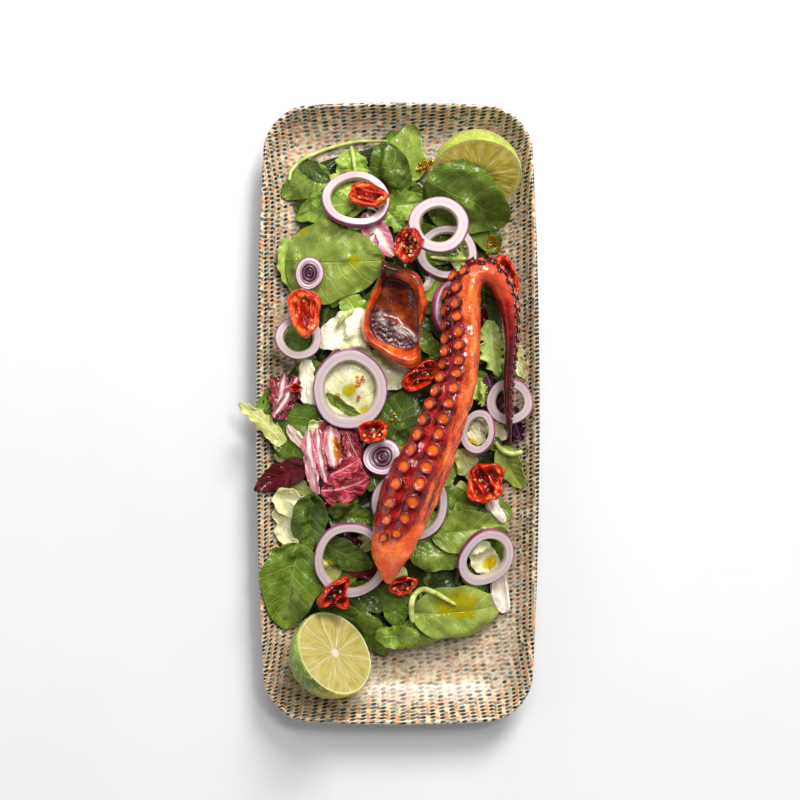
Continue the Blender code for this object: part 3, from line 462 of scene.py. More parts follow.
def spread(field, rounds):
    """Widens the lifts of a grid of points, so that a sheet bends round what lifts it."""
    for _ in range(rounds):
        padded = np.pad(field, 1, mode="edge")
        near = [padded[1 + i:padded.shape[0] - 1 + i, 1 + j:padded.shape[1] - 1 + j]
                for i in (-1, 0, 1) for j in (-1, 0, 1)]
        field = np.maximum(field, sum(near) / 9)
    return field


def lay(px, py, rise, base):
    """The heights at which a sheet comes to rest: on the platter and the leaves below it, under the toppings."""
    global laid_map
    height = read_map(base, px, py) + rise
    lift = np.maximum(read_map(laid_map, px, py) + LEAF_GAP - height, 0)
    height = height + spread(lift, 3)
    top = read_map(ceiling_map, px, py) - FREE_GAP
    height = height - spread(np.maximum(height - top, 0), 2)
    lowest = read_map(floor_map, px, py) + FREE_GAP
    height = np.maximum(height, lowest)
    i = np.clip(np.rint(px - MAP_X[0]).astype(int), 1, len(MAP_X) - 2)
    j = np.clip(np.rint(py - MAP_Y[0]).astype(int), 1, len(MAP_Y) - 2)
    for di in (-1, 0, 1):
        for dj in (-1, 0, 1):
            np.maximum.at(laid_map, (j + dj, i + di), height - 0.15 * (abs(di) + abs(dj)))
    return np.minimum(height, np.maximum(top, lowest))


def thicken(piece, thickness):
    """Gives a sheet its thickness, downwards."""
    bpy.ops.object.modifier_add(type="SOLIDIFY")
    piece.modifiers[-1].thickness = thickness * MM
    piece.modifiers[-1].offset = -1.0
    bpy.ops.object.modifier_apply(modifier=piece.modifiers[-1].name)
    bpy.ops.object.shade_smooth_by_angle(angle=math.radians(60))


# Living leaf: a waxy skin over wet green tissue, glossier where it is wet with oil. The side veins leave the midrib
# every few millimetres, and a fine net lies between them. One material for each kind of leaf.
# Colours from darkest to palest, veins, roughness, half width of the midrib (share), side veins, strength of veins
leaf_materials = {}
for kind, finish, low, middle, high, veins, roughness, midrib, count, strength in (
    ("spinach", "spinach_blade_waxy", "#182804", "#546c12", "#a4b252", "#b4c078", 0.34, 0.032, 7.0, 0.24),
    ("lettuce", "lettuce_blade_crisp", "#6d7a22", "#c0c268", "#f6f0d2", "#f0eed6", 0.34, 0.10, 6.0, 0.40),
    ("frilly", "frilly_lettuce_blade", "#2c4a08", "#7a9a22", "#b9cb62", "#d3d89a", 0.36, 0.07, 8.0, 0.42),
    ("radicchio", "radicchio_blade_waxy", "#42030f", "#960a26", "#d24058", "#f0d0cc", 0.24, 0.10, 4.0, 0.42),
    ("frisee", "frisee_blade_wet", "#3e5c0a", "#8eac2c", "#dce88c", "#e4eaae", 0.30, 0.12, 9.0, 0.5),
    ("purple", "purple_leaf_blade_waxy", "#16020c", "#460c2c", "#86406a", "#b088a0", 0.32, 0.12, 5.0, 0.5),
    ("red_leaf", "red_leaf_blade_waxy", "#160103", "#4c040c", "#861622", "#8a2230", 0.36, 0.05, 7.0, 0.22),
    ("rib", "lettuce_rib_wet", "#bd9680", "#dcc4b2", "#ece0d4", "#f2eae0", 0.30, 0.30, 3.0, 0.5),
    ("pink_rib", "radicchio_rib_wet", "#5c0c28", "#a83454", "#dc98a0", "#ecd6cc", 0.30, 0.46, 3.0, 0.85),
):
    leaf_materials[kind], tree, shader, place, tone, oily = start_material(
        finish, roughness, 1.42, "tone oil", Specular_IOR_Level=0.16, Coat_Weight=0.3, Coat_Roughness=0.08)
    flat_place = add(tree, "SeparateXYZ", {0: place.node.outputs["UV"]})
    side = add(tree, "Math", {0: add(tree, "Math", {0: flat_place.outputs["Y"], 1: 2.0, 2: -1.0},
                                     operation="MULTIPLY_ADD")}, operation="ABSOLUTE")
    patches = add(tree, "TexNoise", {"Vector": place, "Scale": 130.0, "Detail": 4.0, "Roughness": 0.6})
    grain = add(tree, "TexNoise", {"Vector": place, "Scale": 900.0, "Detail": 2.0})
    shade = add(tree, "Math", {0: patches, 1: 0.75, 2: tone}, operation="MULTIPLY_ADD")
    shade = add(tree, "Math", {0: grain, 1: 0.22, 2: shade}, operation="MULTIPLY_ADD")
    shade = add(tree, "Math", {0: shade, 1: 0.40}, operation="SUBTRACT", use_clamp=True)
    blade = add(tree, "ValToRGB", {0: shade}, stops=((0.0, low), (0.5, middle), (1.0, high)))
    slant = add(tree, "Math", {0: flat_place.outputs["X"], 1: count,
                               2: add(tree, "Math", {0: side, 1: -1.6}, operation="MULTIPLY")},
                operation="MULTIPLY_ADD")
    wander = add(tree, "Math", {0: patches, 1: 0.8, 2: slant}, operation="MULTIPLY_ADD")
    near_vein = add(tree, "Math", {0: wander, 1: 0.5}, operation="PINGPONG")
    side_vein = add(tree, "MapRange", {0: near_vein, 1: 0.09, 2: 0.015, 4: 0.75})
    main_vein = add(tree, "MapRange", {0: side, 1: midrib, 2: midrib * 0.35})
    net = add(tree, "TexVoronoi", {"Vector": place, "Scale": 620.0}, feature="DISTANCE_TO_EDGE")
    net_line = add(tree, "MapRange", {0: net, 1: 0.10, 2: 0.0, 4: 0.35})
    line = add(tree, "Math", {0: side_vein, 1: net_line}, operation="MAXIMUM")
    line = add(tree, "Math", {0: line, 1: main_vein}, operation="MAXIMUM")
    amount = add(tree, "Math", {0: line, 1: strength}, operation="MULTIPLY")
    colour = add(tree, "MixRGB", {0: amount, 1: blade, 2: veins})
    golden = add(tree, "MixRGB", {0: 1.0, 1: colour, 2: "#f2dc1c"}, blend_type="MULTIPLY")
    golden = add(tree, "MixRGB", {0: 0.45, 1: golden, 2: "#963c04" if "radicchio" in finish else "#a89604"})
    colour = add(tree, "MixRGB", {0: oily, 1: colour, 2: golden})
    wet = add(tree, "MapRange", {0: patches, 1: 0.35, 2: 0.6, 3: roughness - 0.14, 4: roughness + 0.12})
    wet = add(tree, "MixRGB", {0: oily, 1: wet, 2: (0.08, 0.08, 0.08, 1.0)})
    relief = add(tree, "Math", {0: grain, 1: 0.35, 2: line}, operation="MULTIPLY_ADD")
    bump = add(tree, "Bump", {"Height": relief, "Strength": 0.6, "Distance": 0.0006}, invert=kind == "spinach")
    connect(tree, shader, {"Base Color": colour, "Roughness": wet, "Normal": bump})

# The imported leaves at the bottom of the bed, which show only as darkness between the others: their tone is
# set below that of every leaf above them, painted shade for the gaps
BED_NEAR, BED_FAR = -130.0, 158.0
core = np.zeros((96, 44, 3))
for row, y in zip(core, np.linspace(BED_NEAR, BED_FAR, len(core))):
    inside = MAP_X[~np.isnan(raw_heap[int(round(y - MAP_Y[0]))])]
    margin = min(7.0, (inside[-1] - inside[0]) / 4)
    row[:, 0] = np.linspace(inside[0] + margin, inside[-1] - margin, len(row))
    row[:, 1] = y
core_top = np.minimum(heap_map - 6.0, ceiling_map - 3.0)
core_top = np.maximum(core_top, floor_map + 1.1)
core[..., 2] = read_map(core_top, core[..., 0], core[..., 1])
core[..., 2] += np.maximum(1.4 * ripple(core[..., :2], 9.0, 3), -0.5)
# The tone below zero is painted shade
packed = grid_piece("packed_leaves_painted_dark", core, tone=np.full(core.shape[:2], -0.12))
thicken(packed, 0.8)
serve(packed, leaf_materials["spinach"], "salad_leaf", "salad_heap")
laid_map = np.maximum(laid_map, soften(np.where(np.isnan(raw_heap), floor_map, core_top), 2.0))


def join(pieces, name):
    """Joins pieces into one and gives it a name."""
    for piece in pieces:
        piece.select_set(True)
    bpy.context.view_layer.objects.active = pieces[0]
    bpy.ops.object.join()
    pieces[0].name = pieces[0].data.name = name
    return pieces[0]


# Small leaves and torn pieces that fill the bed, one piece for each kind, laid in turn from the bottom up
SMALL_LEAVES = 150
rng = np.random.default_rng(11)
batches = {}
for index in range(SMALL_LEAVES):
    x, y = rng.uniform(-84, 72), rng.uniform(BED_NEAR, BED_FAR)
    depth = -4.2 + 2.6 * index / SMALL_LEAVES
    kind = rng.choice(("spinach", "spinach", "spinach", "lettuce", "frilly", "red_leaf" if y < 0 else "spinach"))
    size, narrow, way = rng.uniform(7, 12), rng.uniform(0.5, 0.75), rng.uniform(0, 360)
    lean, roll, grey = rng.uniform(-0.35, 0.35, 2), rng.uniform(-0.6, 0.9, 2), rng.uniform(0.15, 0.6)
    i, j = int(x - MAP_X[0]), int(y - MAP_Y[0])
    if not np.isfinite(raw_heap[j - 5:j + 6, i - 5:i + 6]).all():
        continue
    px, py, rise, t, s = leaf_points(kind, x, y, size, size * narrow, way, depth, 0.4, lean, roll, index, (11, 18))
    height = lay(px, py, rise, heap_map)
    batches.setdefault(kind, []).append((np.stack((px, py, height), -1), np.full(t.shape, grey)))
for kind, batch in batches.items():
    small = join([grid_piece(f"small_{kind}", points, tone=tone) for points, tone in batch], f"small_{kind}_leaves")
    thicken(small, 0.45)
    serve(small, leaf_materials[kind], "salad_leaf")

# The leaves that show, from the bottom up. Each is: kind, middle X and Y, half length, half width, direction of the
# tip (degrees), tone (0 dark to 1 pale), height over the bed (mm), bend, tilt of its left and right half (radians),
# curl of the two halves (radians at the margin)
LEAVES = {
    # far end
    "lettuce_far_thin": ("frilly", -25.8, 137.5, 13, 9, -80, 0.62, -1.5, 0.3, (0.1, 0.1), (0.2, -0.3)),
    "lettuce_in_far_ring": ("frilly", -29.8, 123.5, 18, 14, 20, 0.78, -2.0, 0.2, (0.1, 0.0), (0.3, 0.2)),
    "spinach_far_bright": ("spinach", 4.5, 146.5, 18, 12.5, 80, 0.66, 0.5, -0.3, (0.25, -0.1), (0.3, 0.5)),
    "spinach_far_low": ("spinach", 3.5, 127.0, 12, 7.5, -18, 0.55, -0.5, 0.2, (0.2, 0.1), (0.5, 0.3)),
    "spinach_far_dark": ("spinach", -4.6, 137.8, 16, 13, 112, 0.34, 0.8, 0.4, (0.35, 0.25), (-0.9, 0.6)),
    "leaf_far_left": ("spinach", -53.0, 130.5, 15, 10, 208, 0.58, -0.5, 0.2, (0.15, 0.0), (0.2, 0.4)),
    "leaf_far_left_fold": ("spinach", -46.8, 136.6, 11, 5.5, -38, 0.16, 1.4, 0.2, (0.5, -0.2), (0.3, -0.4)),
    "frilly_left": ("frilly", -42.0, 115.5, 17, 9.5, 192, 0.45, 0.2, 0.3, (0.3, 0.0), (0.3, 0.3)),
    "frilly_middle": ("frilly", 4.0, 117.0, 15, 9, 8, 0.5, 0.3, 0.3, (0.3, 0.1), (0.3, -0.4)),
    "leaf_under_far_ring": ("frilly", -2.8, 109.5, 10, 6, -48, 0.35, 0.6, 0.3, (0.5, 0.1), (0.2, 0.3)),
    "leaf_below_lime": ("spinach", 50.6, 102.0, 12, 9, -62, 0.50, 0.0, 0.4, (0.3, -0.1), (0.4, 0.3)),
    "leaf_in_ring": ("spinach", 23.6, 95.0, 17, 13, 4, 0.40, -0.8, 0.2, (0.1, 0.0), (0.2, 0.2)),
    "frilly_by_ring": ("frisee", 37.0, 88.5, 8, 6, 40, 0.75, -0.5, 0.3, (0.3, 0.1), (0.4, 0.4)),
    "rib_far": ("pink_rib", -11.2, 99.5, 14.5, 7.6, -58, 0.62, 1.0, 0.4, (0.15, 0.2), (-0.4, 0.7)),
    "rib_far_fold": ("pink_rib", -16.5, 92.0, 8.5, 4.8, -105, 0.30, 0.8, 0.5, (0.3, 0.0), (-0.5, 0.6)),
    "lobe_left": ("frilly", -63.2, 83.5, 15.5, 6.0, -82, 0.72, 0.6, 0.5, (0.1, 0.35), (0.2, 0.9)),
    "spinach_left": ("spinach", -35.0, 84.6, 28, 23.5, 0, 0.68, 1.0, 0.15, (0.06, 0.04), (0.14, -0.12)),
    "frilly_by_piece": ("frilly", 21.0, 71.5, 9, 5.5, 60, 0.62, -0.5, 0.5, (0.3, 0.3), (0.4, 0.4)),
    "rib_by_piece": ("rib", 18.2, 75.0, 7.5, 2.2, 62, 0.7, 0.6, 0.5, (0.1, 0.1), (0.3, 0.3)),
    # This leaf's very dark tone is painted shade, for the deep shadow under the bend between the arm's two limbs
    "leaf_under_bend": ("spinach", 50.0, 58.0, 15, 9, -80, 0.12, -2.5, 0.2, (0.1, 0.2), (0.3, 0.3)),
    "purple_curl_in_bend": ("red_leaf", 49.0, 51.5, 9, 5, -60, 0.25, -1.5, 1.2, (0.5, 0.4), (0.9, 0.9)),
    "frisee_in_bend": ("frisee", 53.0, 36.0, 16, 7.5, -82, 0.66, -0.4, 0.4, (0.4, 0.3), (0.6, 0.4)),
    "lettuce_by_limb": ("lettuce", 67.5, 30.0, 11, 4.5, -72, 0.55, -1.0, 0.3, (0.1, 0.2), (0.2, 0.3)),
    # middle
    "lettuce_beside_big_ring": ("lettuce", -15.5, 42.5, 13, 8, -42, 0.80, 0.2, 0.3, (0.2, 0.1), (0.4, 0.4)),
    "lettuce_left": ("lettuce", -30.5, 45.5, 17, 11.5, 200, 1.15, 0.8, 0.3, (0.2, 0.1), (0.5, -0.3)),
    "lettuce_right_lobe": ("lettuce", -5.8, 24.0, 16, 11, -18, 0.72, -0.8, 0.2, (0.1, 0.0), (0.3, 0.2)),
    "lettuce_under_ring": ("lettuce", -28.0, 17.5, 27, 19.5, 78, 0.70, -0.6, 0.2, (0.05, 0.05), (0.15, 0.15)),
    "lettuce_left_lobe": ("lettuce", -51.0, 14.5, 15.5, 5.2, -86, 1.0, 0.4, 0.3, (0.2, 0.2), (0.5, 0.4)),
    "spinach_slit": ("spinach", -29.5, 3.2, 13, 2.9, -34, 0.52, -0.4, 0.3, (0.3, 0.1), (0.3, 0.2)),
    "spinach_middle": ("spinach", 1.0, -3.5, 18, 13.5, 72, 0.20, 0.2, 0.2, (0.15, 0.1), (0.2, 0.3)),
    "leaf_by_big_ring": ("spinach", -48.5, -4.0, 12, 9, -20, 0.30, -1.0, 0.3, (0.1, 0.1), (0.3, 0.3)),
    "spinach_left_middle": ("spinach", -59.8, -10.6, 20, 14.5, -62, 0.32, 0.2, 0.25, (0.15, 0.1), (-0.2, 0.3)),
    "lettuce_over_rim": ("lettuce", -76.0, -4.2, 17, 5.2, 136, 0.44, 1.2, 0.5, (0.2, 0.1), (0.3, 0.5)),
    "radicchio_small_back": ("radicchio", -61.5, 12.0, 10, 7, 58, 0.22, 0.2, 0.6, (0.5, -0.1), (0.5, 0.5)),
    "radicchio_small": ("radicchio", -67.6, 8.8, 12, 6.5, 100, 0.30, 1.0, 0.3, (0.5, 0.2), (0.8, 0.7)),
    "radicchio_small_middle": ("pink_rib", -65.8, 10.0, 13, 4.2, 78, 0.26, 1.8, 0.3, (0.5, 0.4), (1.0, 0.9)),
    "radicchio_small_right": ("pink_rib", -61.8, 9.8, 12, 3.8, 60, 0.30, 1.4, 0.3, (0.5, 0.4), (1.0, 0.9)),
    "lettuce_curl_below_ring": ("lettuce", -38.0, -7.8, 12, 6, 2, 0.55, 0.6, 0.3, (0.5, -0.2), (0.8, -0.3)),
    "rib_left": ("rib", -57.5, -13.4, 8, 2.8, -52, 0.25, 1.2, 0.4, (0.2, 0.2), (0.4, 0.4)),
    "red_leaf_left": ("red_leaf", -66.2, -35.2, 17, 8.2, 205, 0.40, 0.4, 0.2, (0.12, 0.05), (0.2, 0.2)),
    "radicchio_large_back": ("radicchio", -34.0, -25.0, 20, 15, -84, 0.34, 0.0, 0.3, (0.15, 0.15), (0.3, 0.3)),
    "radicchio_large_tip": ("radicchio", -36.0, -48.0, 10, 6.5, -80, 0.30, 0.6, 0.2, (0.4, 0.3), (0.9, 0.9)),
    "radicchio_large_right": ("radicchio", -23.5, -22.5, 15, 6.0, -62, 0.36, 1.2, 0.4, (0.4, 0.3), (0.9, 0.9)),
    "radicchio_large_low": ("radicchio", -28.5, -41.0, 14, 9.0, 14, 0.50, 0.9, 0.6, (0.3, 0.2), (0.5, 0.6)),
    "radicchio_large_fold": ("radicchio", -31.0, -31.0, 12, 7.5, 24, 0.58, 1.8, 0.5, (0.5, 0.3), (0.9, 0.9)),
    "radicchio_rib_third": ("pink_rib", -37.0, -18.5, 12, 5.4, -84, 0.62, 1.6, 0.3, (0.3, 0.3), (0.7, 0.7)),
    "radicchio_rib_second": ("pink_rib", -43.2, -23.5, 15, 4.0, -80, 0.55, 1.9, 0.2, (0.5, 0.4), (1.0, 0.9)),
    "radicchio_rib_left": ("pink_rib", -48.6, -28.0, 18.5, 4.8, -82, 0.66, 1.8, 0.25, (0.45, 0.3), (0.9, 0.9)),
    "spinach_by_radicchio": ("spinach", -26.0, -58.5, 14, 9, -8, 0.26, -0.6, 0.2, (0.2, 0.1), (0.2, 0.3)),
    # near the cut end of the arm, and the near end
    "lettuce_near_left": ("lettuce", -60.5, -65.0, 15, 9.5, -78, 0.72, -0.4, 0.3, (0.25, 0.1), (0.5, 0.3)),
    "lettuce_beige": ("lettuce", -56.5, -51.8, 14, 8.5, -25, 0.68, 0.2, 0.3, (0.3, 0.2), (0.7, 0.4)),
    "spinach_near_left_dark": ("spinach", -50.0, -62.0, 17, 11, -98, 0.32, 0.6, 0.3, (0.15, 0.1), (0.3, 0.3)),
    "lettuce_curl_near_left": ("lettuce", -63.5, -76.5, 9, 5.5, 25, 0.60, 0.6, 0.9, (0.5, 0.4), (0.9, 0.6)),
    "spinach_near_left": ("spinach", -60.5, -98.0, 25, 17.5, -100, 0.50, 0.8, 0.15, (0.12, 0.05), (0.12, 0.2)),
    "leaf_in_near_ring": ("spinach", -30.0, -79.0, 18, 9, -28, 0.24, -0.2, 0.3, (0.3, -0.05), (0.3, 0.2)),
    "leaf_near_dark": ("spinach", -14.0, -103.5, 16, 10, 0, 0.20, -0.4, 0.3, (0.1, 0.1), (0.3, 0.3)),
    "leaf_near_middle": ("spinach", -1.5, -107.5, 13, 9, -86, 0.34, 0.0, 0.3, (0.2, 0.1), (0.3, 0.2)),
    "leaf_near_long": ("spinach", -27.0, -115.5, 19, 7.5, -22, 0.42, 0.4, 0.3, (0.3, 0.0), (0.4, 0.3)),
    "leaf_near_point": ("spinach", -14.0, -125.5, 15, 8, -62, 0.46, 0.6, 0.3, (0.1, 0.3), (0.2, 0.3)),
    "frilly_near": ("frilly", -0.5, -126.0, 12, 7.5, -4, 0.50, 0.4, 0.2, (0.3, 0.2), (0.4, 0.3)),
    "leaf_under_near_right": ("spinach", 15.5, -123.0, 15, 9.5, 14, 0.60, 0.0, 0.2, (0.1, 0.1), (0.2, 0.3)),
    "spinach_near_right": ("spinach", 34.0, -111.5, 25, 16.5, 4, 0.74, 1.2, 0.2, (0.14, 0.05), (0.2, 0.15)),
    "lettuce_under_arm": ("frilly", 17.5, -60.5, 11, 8, -30, 0.60, 0.0, 0.3, (0.2, 0.1), (0.3, 0.3)),
    "spinach_bright": ("spinach", 21.8, -78.6, 15.5, 12, -20, 0.58, 1.2, 0.2, (-0.12, -0.12), (-0.35, -0.35)),
    "spinach_right_under": ("spinach", 33.5, -50.0, 13, 9, -12, 0.50, 0.0, 0.2, (0.1, 0.1), (0.3, 0.3)),
    "spinach_right": ("spinach", 41.0, -65.5, 22, 13.0, 8, 0.64, 0.8, 0.2, (0.3, 0.1), (0.3, 0.2)),
    "leaf_in_right_ring": ("spinach", 58.5, -74.5, 11, 7, -70, 0.34, -0.4, 0.2, (0.1, 0.1), (0.3, 0.3)),
    "lettuce_in_right_ring": ("lettuce", 49.5, -83.5, 12, 8, -60, 0.78, -0.2, 0.3, (0.2, 0.1), (0.3, 0.3)),
    "rib_near_right": ("rib", 57.0, -98.0, 16, 4.6, -82, 0.75, 0.4, 0.3, (0.2, 0.2), (0.5, 0.5)),
    "rib_right": ("rib", 55.0, -53.5, 10, 3.4, -58, 0.8, 0.4, 0.4, (0.3, 0.2), (0.5, 0.5)),
    # right side
    "purple_leaf_right": ("purple", 53.5, 9.0, 13, 9.5, 100, 0.36, 1.6, 0.4, (0.4, 0.3), (0.9, 0.9)),
    "leaf_by_arm": ("frisee", 46.5, 11.5, 10, 5.2, -58, 0.62, 0.2, 0.3, (0.3, 0.1), (0.4, 0.3)),
    "purple_leaf_right_low": ("purple", 66.5, -6.0, 10, 5.5, -76, 0.22, 1.8, 0.4, (0.5, 0.3), (1.0, 0.9)),
    "lettuce_in_small_ring": ("lettuce", 45.6, -8.8, 8.5, 5.5, 70, 0.72, -0.4, 0.2, (0.1, 0.1), (0.3, 0.3)),
    "lettuce_small_right": ("lettuce", 54.8, -9.0, 8, 5.5, -40, 0.78, 0.0, 0.4, (0.3, 0.3), (0.6, 0.6)),
    "spinach_far_right": ("spinach", 63.6, -31.0, 13.5, 7.5, -62, 0.78, 0.2, 0.3, (0.2, 0.1), (0.4, 0.3)),
    "lettuce_right": ("lettuce", 39.0, -28.8, 9.5, 7, -70, 0.50, 0.4, 0.3, (0.3, 0.1), (0.5, 0.4)),
}
for index, (name, values) in enumerate(LEAVES.items()):
    kind, x, y, length, width, way, grey, level, bend, tilt, curl = values
    px, py, rise, t, s = leaf_points(kind, x, y, length, width, way, level - 1.0, bend, tilt, curl, 300 + index,
                                     (31, 56))
    height = lay(px, py, rise, heap_map)
    tone = grey + 0.10 * (1 - 2 * np.abs(s)) * (t - 0.3) - 0.08 * (1 - t)
    piece = grid_piece(name, np.stack((px, py, height), -1), tone=tone, oil=oil_on(px, py))
    thicken(piece, KINDS[kind][5])
    serve(piece, leaf_materials[kind], "salad_leaf")

# Bare stalks: thin round stems of the spinach, two of them lying loose in an arc at the far end. They are pale, full
# of water and a little ribbed along their length.


def unit(vectors):
    """Vectors of the same directions and length 1."""
    return vectors / np.linalg.norm(vectors, axis=-1, keepdims=True)


def tube_points(line, radii, sides=10):
    """Points round a smooth line (mm), closed at both ends: rows round it, columns along it."""
    way = unit(np.gradient(line, axis=0))
    side = unit(np.cross(way, (0, 0, 1.0)))
    up = np.cross(side, way)
    angle = np.linspace(0, TURN, sides + 1)[:, None, None]
    return line + radii[:, None] * (np.cos(angle) * side + np.sin(angle) * up)


def smooth_line(points, count):
    """A smooth line (Catmull-Rom) through rows of numbers, as that many evenly shared rows."""
    p = np.asarray(points, float)
    p = np.concatenate((2 * p[:1] - p[1:2], p, 2 * p[-1:] - p[-2:-1]))
    place = np.linspace(0, len(p) - 3 - 1e-9, count)
    i = place.astype(int)
    t = (place - i)[:, None]
    a, b, c, d = p[i], p[i + 1], p[i + 2], p[i + 3]
    return 0.5 * (2 * b + (c - a) * t + (2 * a - 5 * b + 4 * c - d) * t**2 + (3 * b - a - 3 * c + d) * t**3)


stalk_green = mottled_material("leaf_stalk_wet", 0.28, 1.4, 300.0, 3.0,
                               ((0.3, "#8fa23c"), (0.55, "#bcc66f"), (0.75, "#d9dca0")), (0.3, 0.0004))

# Stalks as X, Y, height over what they lie on and radius (mm)
STALKS = {
    "stalk_far_arc": ((-61.5, 131, 1.5, 0.8), (-60.5, 137, 1.6, 1.0), (-55.0, 143.3, 1.2, 1.1),
                      (-44.5, 149.2, 1.0, 1.1), (-33.0, 152.8, 1.0, 1.0), (-21.0, 155.0, 1.0, 0.9),
                      (-11.0, 154.4, 1.2, 0.8), (-5.5, 153.0, 1.4, 0.7)),
    "stalk_far_short": ((-26.6, 151.5, 1.6, 1.0), (-25.6, 146.5, 1.8, 1.1), (-24.7, 140.5, 1.6, 1.1),
                        (-24.0, 135.5, 1.2, 0.9)),
    "stalk_by_rings": ((18.0, 87.6, 1.6, 0.9), (26.0, 86.8, 1.4, 1.2), (34.0, 86.6, 1.4, 1.2), (40.5, 87.4, 1.4, 0.9)),
    "stalk_near_loop": ((8.4, -117.5, 2.2, 1.2), (7.4, -110.5, 3.4, 1.6), (8.4, -103.0, 4.6, 1.7),
                        (13.5, -98.6, 4.4, 1.6), (20.0, -99.6, 3.0, 1.4), (26.0, -103.2, 1.8, 1.2),
                        (33.0, -107.6, 1.4, 0.9)),
    "stalk_right": ((54.5, -15.8, 1.6, 1.1), (58.5, -20.5, 2.2, 1.4), (64.0, -22.6, 2.4, 1.5), (70.5, -21.6, 1.8, 1.3)),
    "stalk_by_big_ring": ((-24.5, 58.0, 2.0, 0.9), (-29.5, 54.5, 2.4, 1.3), (-34.0, 48.5, 2.0, 1.2)),
}
for name, table_rows in STALKS.items():
    px, py, height, radius = smooth_line(table_rows, 48).T
    from_end = np.minimum(np.arange(len(px)), np.arange(len(px))[::-1])
    seat_height = read_map(soften(laid_map, 2.0), px, py) + height * 0.8
    seat_height = np.minimum(seat_height, read_map(ceiling_map, px, py) - radius - 0.3)
    line = np.column_stack((px, py, seat_height))
    stalk = grid_piece(name, tube_points(line, radius * np.sqrt(part_way(from_end, 0, 2.0))), True)
    serve(stalk, stalk_green, "salad_leaf")

# ---------------------------------------------------------------- the lime halves
# A Persian lime cut across its middle: a dimpled waxy rind, a thin white pith, and ten wedges of juice sacs
# between pale skins. One half leans on the leaves at each end of the platter.

# The wedges of one fruit, and how far its end stands out (share of its depth)
LIME_WEDGES, NIPPLE = 10, 0.045


def seat(name):
    """Where a node lies: its middle (mm), its axes as columns (long, short, upright), and its points about them."""
    points = np.unique(np.round(np.array([v.co for v in nodes[name].data.vertices]) / MM, 3), axis=0)
    middle = points.mean(0)
    axes = np.linalg.eigh(np.cov((points - middle).T))[1]
    upright, long_way = axes[:, 0], axes[:, 2]
    upright = upright if upright[2] > 0 else -upright
    long_way = long_way if long_way[0] > 0 else -long_way
    basis = np.stack((long_way, np.cross(upright, long_way), upright), 1)
    local = (points - middle) @ basis
    centre = (local.max(0) + local.min(0)) / 2
    return middle + basis @ centre, basis, local - centre


# Fruit: wet flesh under thin skins, drawn from the face's own coordinates (-1 to 1 across the cut)
lime_fruit, tree, shader, place, face_x, face_y, rind, shaded = start_material(
    "lime_rind_and_flesh", 0.3, 1.38, "face_x face_y rind shaded", Subsurface_Weight=0.12, Subsurface_Scale=0.003)
radius = add(tree, "VectorMath", {0: add(tree, "CombineXYZ", {0: face_x, 1: face_y, 2: 0.0})},
             operation="LENGTH").outputs["Value"]
angle = add(tree, "Math", {0: face_y, 1: face_x}, operation="ARCTAN2")
uneven = add(tree, "TexNoise", {"Vector": place, "Scale": 90.0, "Detail": 2.0})
angle = add(tree, "Math", {0: uneven, 1: 0.22, 2: angle}, operation="MULTIPLY_ADD")
wedge = add(tree, "Math", {0: add(tree, "Math", {0: angle, 1: LIME_WEDGES / TURN}, operation="MULTIPLY"), 1: 0.5},
            operation="PINGPONG")
from_skin = add(tree, "Math", {0: wedge, 1: radius}, operation="MULTIPLY")
skin_line = add(tree, "MapRange", {0: from_skin, 1: 0.035, 2: 0.006, 4: 0.34})
core_line = add(tree, "MapRange", {0: radius, 1: 0.13, 2: 0.06, 4: 0.95})
pith_line = add(tree, "MapRange", {0: radius, 1: 0.925, 2: 0.955, 4: 0.9})
sac_place = add(tree, "CombineXYZ", {0: add(tree, "Math", {0: angle, 1: 7.0}, operation="MULTIPLY"),
                                     1: add(tree, "Math", {0: radius, 1: 3.2}, operation="MULTIPLY"), 2: rind})
sacs = add(tree, "TexVoronoi", {"Vector": sac_place, "Scale": 1.6}, feature="SMOOTH_F1")
juice = add(tree, "ValToRGB", {0: sacs}, stops=((0.1, "#b4a66a"), (0.5, "#a69a52"), (0.9, "#8e8638")))
# The far half's flesh is painted darker and browner: painted shade, as its cut face is turned from the light
brown = add(tree, "ValToRGB", {0: sacs}, stops=((0.1, "#dccb62"), (0.5, "#c4ae3c"), (0.9, "#a08a24")))
juice = add(tree, "MixRGB", {0: shaded, 1: juice, 2: brown})
pale = add(tree, "Math", {0: skin_line, 1: core_line}, operation="MAXIMUM")
pale = add(tree, "Math", {0: pale, 1: pith_line}, operation="MAXIMUM")
flesh = add(tree, "MixRGB", {0: pale, 1: juice, 2: "#d8d0ba"})
mottle = add(tree, "TexNoise", {"Vector": place, "Scale": 70.0, "Detail": 4.0})
waxy = add(tree, "ValToRGB", {0: mottle}, stops=((0.34, "#3c560e"), (0.5, "#6c861c"), (0.66, "#a6b23a")))
# The far half's rind is painted paler and yellower: painted light where the window falls on it
far_rind_lit = add(tree, "Math", {0: shaded, 1: 0.5}, operation="MULTIPLY")
waxy = add(tree, "MixRGB", {0: far_rind_lit, 1: waxy, 2: "#c0c23a"})
# Pale speckles on the rind: painted glints
painted_glints = add(tree, "TexNoise", {"Vector": place, "Scale": 520.0, "Detail": 2.0})
painted_glints = add(tree, "MapRange", {0: painted_glints, 1: 0.52, 2: 0.64, 4: 0.45})
waxy = add(tree, "MixRGB", {0: painted_glints, 1: waxy, 2: "#c2cc6a"})
